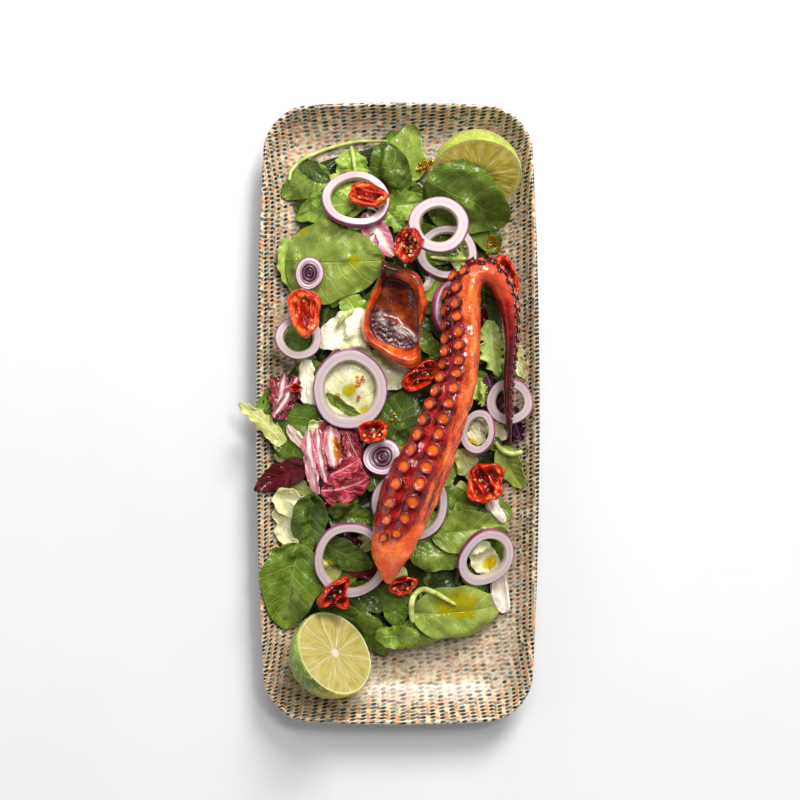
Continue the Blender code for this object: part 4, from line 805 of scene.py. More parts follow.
# Towards the near end of the platter the rind is drawn orange-yellow
toward_near_end = add(tree, "SeparateXYZ", {0: place}).outputs["Y"]
toward_near_end = add(tree, "MapRange", {0: toward_near_end, 1: -0.148, 2: -0.158, 4: 0.7})
waxy = add(tree, "MixRGB", {0: toward_near_end, 1: waxy, 2: "#c89a20"})
pores = add(tree, "TexVoronoi", {"Vector": place, "Scale": 750.0}, feature="F1")
pit = add(tree, "MapRange", {0: pores, 1: 0.0, 2: 0.45})
# The pits of the pores are painted darker: painted shade in the dimples
hollow = add(tree, "MapRange", {0: pit, 1: 0.0, 2: 0.7, 3: 0.4, 4: 0.0})
waxy = add(tree, "MixRGB", {0: hollow, 1: waxy, 2: "#3c560c"})
colour = add(tree, "MixRGB", {0: rind, 1: flesh, 2: waxy})
swell = add(tree, "Math", {0: sacs, 1: -1.6}, operation="MULTIPLY")
relief = add(tree, "MixRGB", {0: rind, 1: swell, 2: pit})
bump = add(tree, "Bump", {"Height": relief, "Strength": 0.55, "Distance": 0.0006})
connect(tree, shader, {"Base Color": colour, "Normal": bump})


def oval_loop(reach_x, reach_y, height, angle):
    """Points round an oval about the upright axis, at one height or at one for each angle."""
    return np.stack((reach_x * np.cos(angle), reach_y * np.sin(angle), height + 0 * angle), -1)


for index, name in enumerate(("lime_half_far", "lime_half_near")):
    middle, basis, local = seat(name)
    face_height, depth = local[:, 2].max(), 2 * local[:, 2].max()
    size = np.abs(local[:, :2]).max()
    theta = np.linspace(0, TURN, 121)
    wedge_shape = np.abs(np.abs((theta * LIME_WEDGES / TURN) % 1 - 0.5) * 2)
    # The cut face from its middle outwards, then the rind from the face's edge round to the lime's end
    loops, face_shares = [], []
    for r in np.concatenate((np.linspace(0, 0.9, 34), (0.925, 0.95, 0.975, 0.99, 0.998))):
        bulge = 0.45 * math.sin(math.pi * min(r / 0.9, 1.0)) * (1 - wedge_shape**4) if r < 0.9 else 0.15
        drop = -0.7 * max(r - 0.975, 0.0) / 0.023
        loops.append(oval_loop(size * r, size * r, face_height + bulge + drop, theta))
        face_shares.append(r)
    for polar in np.linspace(0.03, math.pi / 2, 34):
        nipple = 1 + NIPPLE * bell(polar, math.pi / 2, 0.16)
        wobble = 1 + 0.006 * ripple(oval_loop(1, 1, polar, theta), 1.0, 7 + index)
        reach = size * math.cos(polar) * wobble
        loops.append(oval_loop(reach, reach, face_height - (depth / (1 + NIPPLE)) * math.sin(polar) * nipple, theta))
        face_shares.append(1.0)
    points = np.array(loops)
    face_share = np.array(face_shares)[:, None] + 0 * theta
    # The far half (index 0) carries the painted shade on its flesh and the painted light on its rind
    half = grid_piece(f"{name}_fruit", points @ basis.T + middle, True, face_x=face_share * np.cos(theta),
                      face_y=face_share * np.sin(theta), rind=part_way(face_share, 0.955, 0.02),
                      shaded=np.full(points.shape[:2], 1.0 - index))
    serve(half, lime_fruit, "lime", name)

# The big spinach leaf that lies over the foot of the far lime half and climbs its cut face
leaf_top = height_map([nodes["spinach_leaf_on_lime"]], True)
known = (~np.isnan(leaf_top)).astype(float)
around = soften(np.where(known > 0, leaf_top, 0), 3.0) / np.maximum(soften(known, 3.0), 1e-6)
leaf_base = soften(np.where(known > 0, leaf_top, np.where(around > 0, around, heap_map)), 1.0)
low, high = (np.array(corner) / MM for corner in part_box("spinach_leaf_on_lime"))
px, py, rise, t, s = leaf_points("spinach", (low[0] + high[0]) / 2 - 0.6, (low[1] + high[1]) / 2, 25.8, 18.2, -22,
                                 -0.9, 0.1, (0, 0), (0, 0), 77, (41, 72))
height = read_map(leaf_base, px, py) + 0.6 * (rise + 0.9) - 0.2
over_lime = height_map([nodes["lime_half_far"]], True)
over_lime = np.where(np.isnan(over_lime), -10.0, over_lime)
height = np.maximum(height, read_map(over_lime, px, py) + 1.0)
height = np.minimum(height, read_map(height_map([nodes["onion_ring_far_upper"]], False), px, py) - 0.5)
height = np.where(np.isnan(height), read_map(leaf_base, px, py), height)
leaf = grid_piece("spinach_leaf_on_lime_blade", np.stack((px, py, height), -1), tone=0.44 + 0.06 * (t - 0.5))
thicken(leaf, 0.5)
serve(leaf, leaf_materials["spinach"], "salad_leaf", "spinach_leaf_on_lime")

# ---------------------------------------------------------------- the onion rings and hearts
# Red onion, sliced raw across: single layers as rings, and two slices through the heart where the layers hold
# together. Each layer has a thin purple skin on its outside and a clear membrane on its inside.


def ring_points(local, seed, rows=29, columns=121):
    """A ring's points about its own axes, with how far across its wall and up its height each one is."""
    half = np.abs(local).max(0)
    share = np.hypot(local[:, 0] / half[0], local[:, 1] / half[1])
    inner = share.min()
    around, theta = np.meshgrid(np.linspace(0, TURN, rows), np.linspace(0, TURN, columns), indexing="ij")
    c, s = np.cos(around), np.sin(around)
    across = 0.5 + 0.5 * np.sign(c) * np.abs(c) ** 0.42
    up = np.sign(s) * np.abs(s) ** 0.42
    rng = np.random.default_rng(seed)
    phase = rng.uniform(0, TURN, 4)
    uneven = 1 + 0.012 * np.sin(3 * theta + phase[0]) + 0.008 * np.sin(5 * theta + phase[1])
    wall = inner + (1 - inner) * across - 0.03 * (1 - np.abs(up)) * (across < 0.5)
    wall += 0.015 * (1 - up**2) * (across > 0.5) - 0.012
    z = half[2] * up * (1 + 0.06 * np.sin(2 * theta + phase[2])) + 0.3 * np.sin(2 * theta + phase[3])
    z += 0.12 * np.sin(across * 5 * math.pi) * (up > 0.9)
    return oval_loop(half[0] * wall * uneven, half[1] * wall * uneven, z, theta), across, up, theta


# Onion flesh, cut: wet, faintly lilac and fibrous, see-through at its edges, purple only in the skin of each layer
onion_flesh, tree, shader, place, across, skin = start_material(
    "raw_red_onion_cut", 0.24, 1.37, "across skin", Subsurface_Weight=0.25, Subsurface_Scale=0.0025)
fibre = add(tree, "TexNoise", {"Vector": place, "Scale": 240.0, "Detail": 3.0})
wander = add(tree, "Math", {0: fibre, 1: 0.10, 2: across}, operation="MULTIPLY_ADD")
wander = add(tree, "Math", {0: wander, 1: 0.05}, operation="SUBTRACT")
layers = add(tree, "ValToRGB", {0: wander}, stops=((0.0, "#b8a694"), (0.08, "#b09a9c"), (0.16, "#c2b6b1"),
                                                   (0.45, "#bdaead"), (0.52, "#b49da1"), (0.6, "#c0b1b0"),
                                                   (0.86, "#c4aeb6"), (0.94, "#8e5c7c")))
mottle = add(tree, "TexNoise", {"Vector": place, "Scale": 110.0, "Detail": 3.0})
purple = add(tree, "ValToRGB", {0: mottle}, stops=((0.3, "#5a1034"), (0.5, "#8a2258"), (0.7, "#b25a86")))
colour = add(tree, "MixRGB", {0: skin, 1: layers, 2: purple})
bump = add(tree, "Bump", {"Height": fibre, "Strength": 0.25, "Distance": 0.0003})
connect(tree, shader, {"Base Color": colour, "Normal": bump})

# How purple the outer skin of each ring still is
RING_SKIN = {
    "onion_ring_beside_arm": 1.0, "onion_ring_near_left": 1.0, "onion_ring_near_right": 0.95,
    "onion_ring_far_left": 0.85, "onion_ring_big": 0.45, "onion_ring_far_lower": 0.5, "onion_ring_far_upper": 0.25,
    "onion_ring_left_wall": 0.3, "onion_ring_right_wall": 0.45, "onion_ring_right": 0.4, "onion_ring_under_arm": 0.4,
}
for index, (name, amount) in enumerate(RING_SKIN.items()):
    middle, basis, local = seat(name)
    points, wall_share, up, theta = ring_points(local, 40 + index)
    outer = part_way(wall_share, 0.965, 0.03) * np.clip((0.95 - np.abs(up)) / 0.1 + 0.35, 0, 1)
    patchy = np.clip(0.9 + 0.35 * ripple(on_circle(theta), 1.2, 60 + index), 0, 1)
    ring = grid_piece(f"{name}_layer", points @ basis.T + middle, True, across=wall_share,
                      skin=np.maximum(outer * amount * patchy, 0.12 * (name == "onion_ring_far_left")))
    serve(ring, onion_flesh, "onion", name)

# The heart slices: many thin layers, dark purple towards the middle, each standing a little proud of the next
heart_flesh, tree, shader, place, share = start_material("red_onion_heart_cut", 0.26, 1.37, "share",
                                                         Subsurface_Weight=0.15, Subsurface_Scale=0.002)
fibre = add(tree, "TexNoise", {"Vector": place, "Scale": 260.0, "Detail": 3.0})
wander = add(tree, "Math", {0: fibre, 1: 0.07, 2: share}, operation="MULTIPLY_ADD")
layers = add(tree, "ValToRGB", {0: wander}, stops=((0.0, "#16040c"), (0.14, "#34101f"), (0.2, "#6e4658"),
                                                   (0.26, "#280a18"), (0.38, "#3a1224"), (0.44, "#7c5868"),
                                                   (0.5, "#341020"), (0.58, "#4c2034"), (0.64, "#a88c98"),
                                                   (0.70, "#8a6678"), (0.76, "#cbb8c0"), (0.95, "#d2c0c8"),
                                                   (1.0, "#8c4a6c")))
bump = add(tree, "Bump", {"Height": fibre, "Strength": 0.3, "Distance": 0.0003})
connect(tree, shader, {"Base Color": layers, "Normal": bump})
for index, name in enumerate(("onion_heart_left", "onion_heart_middle")):
    middle, basis, local = seat(name)
    half = np.abs(local).max(0)
    theta = np.linspace(0, TURN, 97)
    rows = [(r, 1 - 0.16 * (0.5 - 0.5 * math.cos(r * TURN * 5)) - 0.1 * (0.6 - r) * (r < 0.6))
            for r in np.linspace(0, 0.94, 40)]
    rows += [(0.965, 0.93), (0.985, 0.75), (1.0, 0.3), (1.0, -0.2), (0.985, -0.7), (0.95, -0.95), (0.5, -1.0), (0, -1)]
    points = []
    for r, z in rows:
        oval = r * (1 + 0.03 * np.sin(2 * theta + 3 * r) + 0.02 * np.sin(3 * theta + index))
        points.append(oval_loop(half[0] * oval, half[1] * oval, half[2] * z, theta))
    shares = np.repeat(np.array([r for r, _ in rows])[:, None], len(theta), 1)
    heart = grid_piece(f"{name}_slice", np.array(points) @ basis.T + middle, True, share=shares)
    serve(heart, heart_flesh, "onion", name)

# ---------------------------------------------------------------- the dried tomatoes
# Small tomatoes halved and half dried, then kept in oil. Each shrank to a leathery wrinkled cup with a thick curled
# rim; inside are the walls between its chambers, wet dark pulp between them with painted shade laid over it, and
# a few pale seeds.

TOMATO_PROFILE = (
    (0.0, 0.30), (0.22, 0.26), (0.45, 0.32), (0.62, 0.55), (0.74, 0.82), (0.84, 0.97), (0.92, 0.96), (0.98, 0.78),
    (1.0, 0.52), (0.95, 0.25), (0.78, 0.06), (0.45, 0.0), (0.0, 0.02),
)

# Tomato skin and pulp under oil: leathery and very glossy, darker in its creases with painted shade and paler on its
# folds with a painted highlight, and orange where the light gets through
tomato_dried, tree, shader, place, tone, inside = start_material(
    "dried_tomato_in_oil", 0.2, 1.45, "tone inside", Specular_IOR_Level=0.25, Coat_Weight=0.7, Coat_Roughness=0.04,
    Subsurface_Weight=0.08, Subsurface_Scale=0.002)
blotch = add(tree, "TexNoise", {"Vector": place, "Scale": 210.0, "Detail": 4.0, "Roughness": 0.6})
shade = add(tree, "Math", {0: blotch, 1: 0.9, 2: tone}, operation="MULTIPLY_ADD")
shade = add(tree, "Math", {0: shade, 1: 0.45}, operation="SUBTRACT", use_clamp=True)
flesh = add(tree, "ValToRGB", {0: shade}, stops=((0.0, "#240301"), (0.3, "#780c03"), (0.6, "#b01e04"),
                                                 (0.82, "#d04408"), (1.0, "#ea7a2c")))
skin = add(tree, "ValToRGB", {0: shade}, stops=((0.0, "#3a0402"), (0.4, "#8e0c04"), (0.75, "#c82406"),
                                                (1.0, "#e0480e")))
colour = add(tree, "MixRGB", {0: inside, 1: skin, 2: flesh})
crinkle = add(tree, "TexNoise", {"Vector": place, "Scale": 380.0, "Detail": 3.0})
bump = add(tree, "Bump", {"Height": crinkle, "Strength": 0.55, "Distance": 0.0008})
connect(tree, shader, {"Base Color": colour, "Normal": bump})

# How each one dried: tone (0 dark to 1 orange), its reach between its corners (share), the corners that it pulled
# out into (direction in degrees, length), the direction of its ridges, the seeds left in it, and a number that
# makes its wrinkles its own
TOMATO_LOOKS = {
    "tomato_under_bend": (0.60, 0.86, ((60, 0.2), (-80, 0.2)), 70, 0, 1),
    "tomato_middle": (0.50, 0.78, ((170, 0.25), (30, 0.2), (-50, 0.2)), 10, 4, 2),
    "tomato_far_middle": (0.46, 0.86, ((80, 0.2), (-100, 0.2)), 80, 18, 3),
    "tomato_far_left": (0.70, 0.92, ((-12, 0.2), (120, 0.15), (215, 0.15)), -15, 3, 4),
    "tomato_left": (0.72, 0.84, ((-95, 0.2), (35, 0.2), (140, 0.2)), -92, 3, 5),
    "tomato_small": (0.60, 0.86, ((0, 0.2), (120, 0.2)), 0, 0, 6),
    "tomato_centre": (0.52, 0.82, ((55, 0.25), (-120, 0.2), (160, 0.1)), 55, 5, 7),
    "tomato_right": (0.58, 0.86, ((45, 0.25), (130, 0.15), (-60, 0.2), (-130, 0.15)), 118, 2, 8),
    "tomato_near_left": (0.34, 0.62, ((52, 0.4), (205, 0.4), (-50, 0.35)), 40, 2, 9),
    "tomato_near_middle": (0.46, 0.82, ((15, 0.2), (190, 0.2)), 12, 3, 10),
}
seed_places = []
profile = smooth_line(TOMATO_PROFILE, 56)
share = np.clip(profile[:, :1], 0, None)
q = np.linspace(0, 1, len(profile))[:, None]
theta = np.linspace(0, TURN, 91)
ring_place = on_circle(theta)
for name, (grey, fill, corners, grain, seeds_left, seed) in TOMATO_LOOKS.items():
    middle, basis, local = seat(name)
    half = np.abs(local).max(0)
    heading = math.degrees(math.atan2(basis[1, 0], basis[0, 0]))
    reach = fill + 0.05 * ripple(ring_place, 1.1, 10 * seed) + 0.04 * ripple(ring_place, 0.5, 10 * seed + 1)
    for corner, amount in corners:
        apart = (theta - math.radians(corner - heading) + math.pi) % TURN - math.pi
        reach = reach + amount * bell(apart, 0, 0.42)
    reach = share * np.minimum(reach, 1.0)
    x, y = half[0] * reach * np.cos(theta), half[1] * reach * np.sin(theta)
    u, v = turned(x, y, math.radians(heading - grain))
    place = v / half[:2].min()
    cup = part_way(q, 0.45, -0.1)
    ridge = bell(place, -0.30, 0.12) + 0.8 * bell(place, 0.32, 0.10)
    rim = bell(q, 0.42, 0.12)
    level = profile[:, 1:] + 0.38 * ridge * cup + rim * (0.26 * ripple(ring_place, 1.2, 10 * seed + 2) - 0.14)
    grid = np.stack((x, y, half[2] * (2 * level - 1)), -1)
    strands = np.stack((u / 8.0, v / 2.4), -1)
    crease = np.abs(ripple(strands, 1.0, 10 * seed + 3)) + 0.45 * np.abs(ripple(grid, 2.0, 10 * seed + 4))
    grid[..., 2] += (1.1 * crease - 0.6) * np.clip(half[2] / 4.0, 0.3, 1) * (share > 0.02)
    grid[..., :2] *= (1 - 0.04 * crease)[..., None]
    hollow = part_way(q, 0.46, -0.08) + 0 * x
    # Painted light and shade in the tone: paler on the raised folds and on the rim, darker in the low creases and on
    # the floor of the cup between its ridges, where the pulp's own dark red is deepened with painted shade
    tones = grey + 0.26 * (crease - 0.6) + 0.16 * rim - 0.30 * cup * (1 - np.minimum(ridge, 1)) * (share < 0.62)
    points = grid @ basis.T + middle
    points[..., 2] = np.maximum(points[..., 2], read_map(floor_map, *np.moveaxis(points, -1, 0)[:2]) + 0.4)
    tomato = grid_piece(f"{name}_cup", points, True, tone=tones, inside=hollow)
    serve(tomato, tomato_dried, "tomato", name)
    rng = np.random.default_rng(seed)
    for _ in range(seeds_left):
        i, j = rng.integers(5, 17), rng.integers(0, 90)
        seed_places.append((points[i, j] + (0, 0, 0.3), rng.uniform(0, TURN), 1.0))


# Seeds: flat pale ovals about 2 mm long, wet. One is modelled and the others are copies of it
def scattered(name, places, length, width, height):
    """Copies of one small flattened ball, as one piece; each has its place, its turn and its scale."""
    bpy.ops.object.select_all(action="DESELECT")
    bpy.ops.mesh.primitive_uv_sphere_add(segments=10, ring_count=6, radius=1.0)
    made = bpy.context.object
    made.name = made.data.name = name
    ball = np.array([v.co for v in made.data.vertices])
    faces = [list(f.vertices) for f in made.data.polygons]
    points, rings = [], []
    for index, (place, turn, scale) in enumerate(places):
        x, y, z = (ball * (length / 2, width / 2, height / 2) * scale).T
        points.append(np.stack((*turned(x, y, turn), z), 1) + place)
        rings += [[v + index * len(ball) for v in face] for face in faces]
    made.data.clear_geometry()
    made.data.from_pydata((np.concatenate(points) * MM).tolist(), [], rings)
    bpy.ops.object.shade_smooth()
    return made


seed_pale = mottled_material("tomato_seed_wet", 0.3, 1.45, 500.0, 2.0,
                             ((0.35, "#a8641c"), (0.5, "#d29438"), (0.7, "#e9c06a")))
serve(scattered("tomato_seeds", seed_places, 2.1, 1.5, 0.7), seed_pale, "tomato")

# ---------------------------------------------------------------- the second piece of octopus
# A thick piece cut from beside the head, simmered and then seared. It curled as it cooked, into a boat with a smooth
# orange rim; its inside is a wine-dark hollow, wet, with the skin puckered and shining.

PIECE_OUTLINE = (
    (-8.6, 85.2), (-4.9, 83.2), (-1.1, 82.1), (3.8, 80.5), (8.8, 78.8), (12.1, 75.5), (13.7, 70.6), (15.3, 65.1),
    (15.9, 60.7), (14.2, 53.6), (12.6, 48.7), (12.1, 40.5), (12.6, 33.9), (12.1, 29.0), (8.8, 25.7), (3.3, 26.2),
    (-2.7, 29.0), (-9.9, 34.4), (-17.0, 39.9), (-19.7, 45.9), (-19.2, 53.1), (-17.0, 60.7), (-14.2, 67.9),
    (-11.0, 75.0), (-10.1, 80.5),
)
# Where the hollow begins: its own outline, far from the rim at the near end and on the left, close to it on the right
HOLLOW_OUTLINE = (
    (-6.0, 75.0), (-1.6, 74.6), (3.4, 72.8), (8.6, 67.6), (10.4, 60.0), (10.9, 52.0), (9.8, 38.8), (5.5, 36.5),
    (0.0, 37.2), (-6.5, 39.8), (-12.5, 43.0), (-15.5, 50.5), (-13.6, 58.5), (-9.6, 66.0), (-8.2, 72.5),
)


PIECE_MIDDLE, PIECE_ROWS = (-0.5, 54.5), 72


def from_middle(corners, count):
    """A closed smooth line through corners, as steps away from the middle of the piece."""
    line = smooth_line(corners + corners[:1], count)
    line[-1] = line[0]
    return line - PIECE_MIDDLE


piece_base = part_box("octopus_piece")[0].z / MM
spoke, pit_line = from_middle(PIECE_OUTLINE, 181), from_middle(HOLLOW_OUTLINE, 181)
theta = np.arctan2(spoke[:, 1], spoke[:, 0])
pit_reach = np.interp(theta, np.arctan2(pit_line[:, 1], pit_line[:, 0]), np.hypot(*pit_line.T), period=TURN)
pit = pit_reach / np.hypot(*spoke.T)
near = bell(theta, -1.25, 0.5)
left = bell((theta + TURN) % TURN, 3.0, 0.6)
rows = []
for q in np.linspace(0, 1, PIECE_ROWS):
    if q < 0.30:      # the floor of the hollow
        share, level = pit * q / 0.30, 5.5 + 1.5 * (q / 0.30) ** 2
    elif q < 0.38:    # its bank, up to the inner edge of the rim
        r = (q - 0.30) / 0.08
        share, level = pit * (1 + 0.05 * r), 7.0 + (4.6 - 1.6 * left) * math.sin(r * math.pi / 2)
    elif q < 0.62:    # the rim, rounded over its crest to the outer edge
        r = (q - 0.38) / 0.24
        share = pit * 1.05 + (1.0 - pit * 1.05) * r
        start = 11.6 - 1.6 * left
        level = start + (15.0 + 1.2 * near - start) * np.sin(min(r * 1.5, 1.0) * math.pi / 2)
        level = level - 3.4 * max(r - 0.6, 0) ** 2 / 0.16
    else:             # the outside, down and under to the middle
        r = (q - 0.62) / 0.38
        share = (1.0 + 0.02 * math.sin(min(r * 4, 1) * math.pi)) * (1 - max(r - 0.35, 0) / 0.65) ** 0.8
        level = 11.6 - 10.4 * min(r * 2.2, 1.0) ** 1.3
    share, level = share + 0 * theta, level + 0 * theta
    rows.append(np.column_stack((PIECE_MIDDLE + spoke * share[:, None], piece_base + level)))
boat = np.array(rows)
q = np.linspace(0, 1, PIECE_ROWS)[:, None] + 0 * theta
plan = boat[..., :2]
inside = np.clip((0.37 - q + 0.008 * ripple(plan, 5.0, 5)) / 0.02, 0, 1)
# The skin puckered over the near left half of the hollow and in a patch at its right, with a painted highlight,
# pale and silvery, along the fold that crosses it; the far end is almost black
below = -0.59 * (plan[..., 0] + 2.5) - 0.81 * (plan[..., 1] - 49.8) + 0.8 * ripple(plan, 6.0, 28)
band = part_way(below, -2.2, 2.0)
band = np.maximum(band, np.exp(-(((plan[..., 0] - 7.6) / 2.4) ** 2 + ((plan[..., 1] - 65.0) / 6.5) ** 2)))
silver = bell(below, 0.6, 2.4) * np.clip(0.55 + 0.9 * ripple(plan, 4.0, 29), 0, 1) * inside
wine_end = np.clip((plan[..., 1] - 68.0 + 2.5 * ripple(plan, 5.0, 26)) / 6.0, 0, 1) * inside
pucker = np.abs(ripple(plan, 2.6, 21)) + 0.6 * np.abs(ripple(plan, 1.4, 22))
boat[..., 2] += inside * band * (0.8 * pucker - 0.3)
boat[..., 2] += 1.6 * inside * bell(below, 0.8, 2.2)
boat[..., 2] += 0.35 * ripple(boat, 7.0, 23) * (q < 0.8) + 0.12 * np.abs(ripple(boat, 2.2, 24)) * (inside < 0.5)
boat[..., 2] = np.maximum(boat[..., 2], read_map(floor_map, boat[..., 0], boat[..., 1]) + 0.5)
# A darker line along the bank, just under the inner edge of the rim
seam = bell(q, 0.36, 0.03) * np.clip(0.7 + 0.5 * ripple(plan, 4.0, 27), 0, 1)
dark_end = np.exp(-(((plan[..., 0] + 7.0) / 7.5) ** 2 + ((plan[..., 1] - 82.0) / 9.0) ** 2))
blotch = part_way(plan[..., 1], 58, 22) * np.clip(0.4 + ripple(plan, 5.0, 41), 0, 1)
dark_end = np.clip(dark_end + 0.45 * blotch, 0, 1)

# Seared octopus: gelatinous skin gone to a sticky glaze, so it is mirror-bright, orange where it is thick and
# wine-black where its pigment stayed
piece_skin, tree, shader, place, inner, puckered, painted_highlight_amount, darkened = start_material(
    "seared_octopus_head", 0.18, 1.42, "inside pucker silver dark", Specular_IOR_Level=0.25, Coat_Weight=0.7,
    Coat_Roughness=0.04, Subsurface_Weight=0.08, Subsurface_Scale=0.002)
blotch = add(tree, "TexNoise", {"Vector": place, "Scale": 120.0, "Detail": 5.0, "Roughness": 0.6})
rim_colour = add(tree, "ValToRGB", {0: blotch}, stops=((0.32, "#460c04"), (0.42, "#942606"), (0.53, "#c2420a"),
                                                       (0.74, "#e67022")))
pit_colour = add(tree, "ValToRGB", {0: blotch}, stops=((0.3, "#3e0d03"), (0.45, "#6a2206"), (0.58, "#8a3a0e"),
                                                       (0.75, "#a65824")))
crinkle_colour = add(tree, "ValToRGB", {0: blotch}, stops=((0.35, "#26080e"), (0.55, "#54282c"), (0.75, "#8e6a68")))
colour = rim_colour
# The pale silver mix is a painted highlight along the fold in the hollow
for amount, paint in ((inner, pit_colour), (puckered, crinkle_colour), (painted_highlight_amount, "#c9bab6"), (darkened, "#2c0606")):
    colour = add(tree, "MixRGB", {0: amount, 1: colour, 2: paint})
fine = add(tree, "TexNoise", {"Vector": place, "Scale": 700.0, "Detail": 3.0})
cracks = add(tree, "TexVoronoi", {"Vector": place, "Scale": 480.0}, feature="DISTANCE_TO_EDGE")
relief = add(tree, "Math", {0: cracks, 1: puckered}, operation="MULTIPLY")
relief = add(tree, "Math", {0: relief, 1: 3.0, 2: fine}, operation="MULTIPLY_ADD")
bump = add(tree, "Bump", {"Height": relief, "Strength": 0.4, "Distance": 0.0007})
connect(tree, shader, {"Base Color": colour, "Normal": bump})
piece = grid_piece("octopus_piece_curled", boat, True, inside=inside, pucker=inside * band * 0.9, silver=0.85 * silver,
                   dark=np.clip(1.3 * dark_end + 0.9 * wine_end + 0.75 * seam, 0, 0.92))
serve(piece, piece_skin, "octopus", "octopus_piece")

# ---------------------------------------------------------------- the octopus arm
# One arm, simmered whole until its skin turned wine red and then grilled. It tapers from a smooth cut end through a
# bend to a thin tip; the skin on its flank dried to lengthwise wrinkles, and two rows of suckers stand on its face.

# X, Y, height, half width (mm) and roll of the sucker face towards the outside of the bend (degrees)
ARM_STATIONS = (
    (-5.5, -93.5, 34, 1.8, 10), (-5.2, -86.5, 36, 6.2, 12), (-4.4, -77.0, 38, 11.0, 15), (-1.1, -65.0, 40, 13.4, 16),
    (3.0, -53.0, 41, 14.9, 15), (6.8, -42.5, 41.5, 15.7, 15), (11.4, -33.0, 41.5, 15.2, 17),
    (16.2, -23.5, 41.5, 14.4, 22), (21.2, -12.0, 41, 13.6, 26), (25.5, -0.5, 40.5, 12.7, 28),
    (29.8, 11.0, 40, 11.8, 30), (33.2, 23.5, 39, 11.0, 32), (35.2, 38.0, 38, 10.9, 38), (35.4, 53.0, 37, 11.0, 46),
    (36.2, 65.5, 37, 10.8, 56), (40.0, 74.6, 37.5, 9.4, 66), (47.4, 78.4, 38, 8.0, 74), (54.4, 74.4, 37, 7.4, 78),
    (59.2, 64.8, 35.5, 6.9, 80), (61.6, 54.2, 34, 5.7, 80), (62.4, 42.6, 33, 4.6, 78), (61.9, 29.8, 32.5, 3.9, 76),
    (61.1, 17.0, 32, 3.4, 74), (61.2, 4.8, 31.5, 2.8, 74), (61.8, -6.3, 30.5, 2.0, 74), (62.4, -17.0, 29.5, 1.0, 74),
)
ARM_DEPTH, FACE_FLATNESS, ROW_ANGLE, FIRST_SUCKER = 0.78, 0.86, math.radians(25), 27.0


def arm_section(row, way, angle):
    """The arm's skin at a station (one row of numbers) and the way out from it, at angles round the section."""
    side = unit(np.cross((0, 0, 1.0), way))
    up = np.cross(way, side)
    roll = math.radians(row[4])
    face = up * math.cos(roll) + side * math.sin(roll)
    flank = side * math.cos(roll) - up * math.sin(roll)
    depth = row[3] * ARM_DEPTH * np.where(np.cos(angle) > 0, FACE_FLATNESS, 1.0)[..., None]
    c, s = np.cos(angle)[..., None], np.sin(angle)[..., None]
    out = face * c * row[3] + flank * s * depth
    return row[:3] + face * depth * c + flank * row[3] * s, unit(out)


stations = smooth_line(ARM_STATIONS, 330)
ways = unit(np.gradient(stations[:, :3], axis=0))
along = np.concatenate(([0], np.cumsum(np.linalg.norm(np.diff(stations[:, :3], axis=0), axis=1))))
coarse = np.array(ARM_STATIONS, float)
lowest = min(arm_section(row, way, np.linspace(0, TURN, 11))[0][:, 2].min()
             for row, way in zip(coarse, unit(np.gradient(coarse[:, :3], axis=0))))
stations[:, 2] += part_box("octopus_arm")[0].z / MM - lowest + 0.25

# Where the suckers stand: two rows, set alternately left and right, closer together as the arm thins
THINNEST_WITH_SUCKERS = 1.9
suckers = []
place = FIRST_SUCKER
while True:
    row = np.array([np.interp(place, along, stations[:, k]) for k in range(5)])
    if row[3] < THINNEST_WITH_SUCKERS:
        break
    way = np.array([np.interp(place, along, ways[:, k]) for k in range(3)])
    angle = ROW_ANGLE * np.interp(place, (27, 45, 80), (0.5, 0.78, 0.9)) * (-1) ** len(suckers)
    point, out = arm_section(row, unit(way), np.array([angle]))
    suckers.append((point[0], out[0], way, min(0.16 * row[3] + 1.6, 0.34 * row[3], 2.6 + 0.045 * (place - 24))))
    place += (0.43 * row[3] + 3.2) / 2

theta = np.linspace(0, TURN, 85)
rows, outs = zip(*(arm_section(row, way, theta) for row, way in zip(stations, ways)))
skin, out = np.array(rows), np.array(outs)
half = stations[:, 3][:, None]
signed = np.where(theta > math.pi, theta - TURN, theta)[None, :] + 0 * half
run = along[:, None] + 0 * signed
girth = signed * half
rise = 0.05 * half * bell(np.abs(signed), ROW_ANGLE, 0.28) - 0.06 * half * bell(signed, 0, 0.18)
flank = part_way(np.abs(signed), 0.85, 0.35)
dried = part_way(run, 16, 20) * flank * np.interp(run, (110, 165), (1.0, 0.12)) * part_way(half, 2, 6)
strands = np.stack((run / 12.0, girth / 2.6), -1)
wrinkle = np.abs(ripple(strands, 1.0, 31)) * 0.6 + 0.4 * np.abs(ripple(strands * 2.1, 1.0, 32))
rise += dried * (0.9 * wrinkle - 0.45)
rise += 0.35 * ripple(np.stack((run / 9.0, girth / 9.0), -1), 1.0, 33) * part_way(half, 0, 10)
rise += 0.12 * np.abs(ripple(skin, 1.8, 34)) * part_way(half, 0, 8)
for point, _, _, radius in suckers:
    rise += 0.32 * radius * bell(np.linalg.norm(skin - point, axis=-1), 0, 1.15 * radius)
skin = skin + out * rise[..., None]
caps = [np.repeat(skin[i].mean(0)[None], len(theta), 0) for i in (0, -1)]
arm_points = np.concatenate((caps[0][None], skin, caps[1][None]))


def capped(field):
    """A field over the arm's skin, with its end rows repeated for the two caps."""
    field = np.asarray(field) + 0 * signed
    return np.concatenate((field[:1], field, field[-1:]))


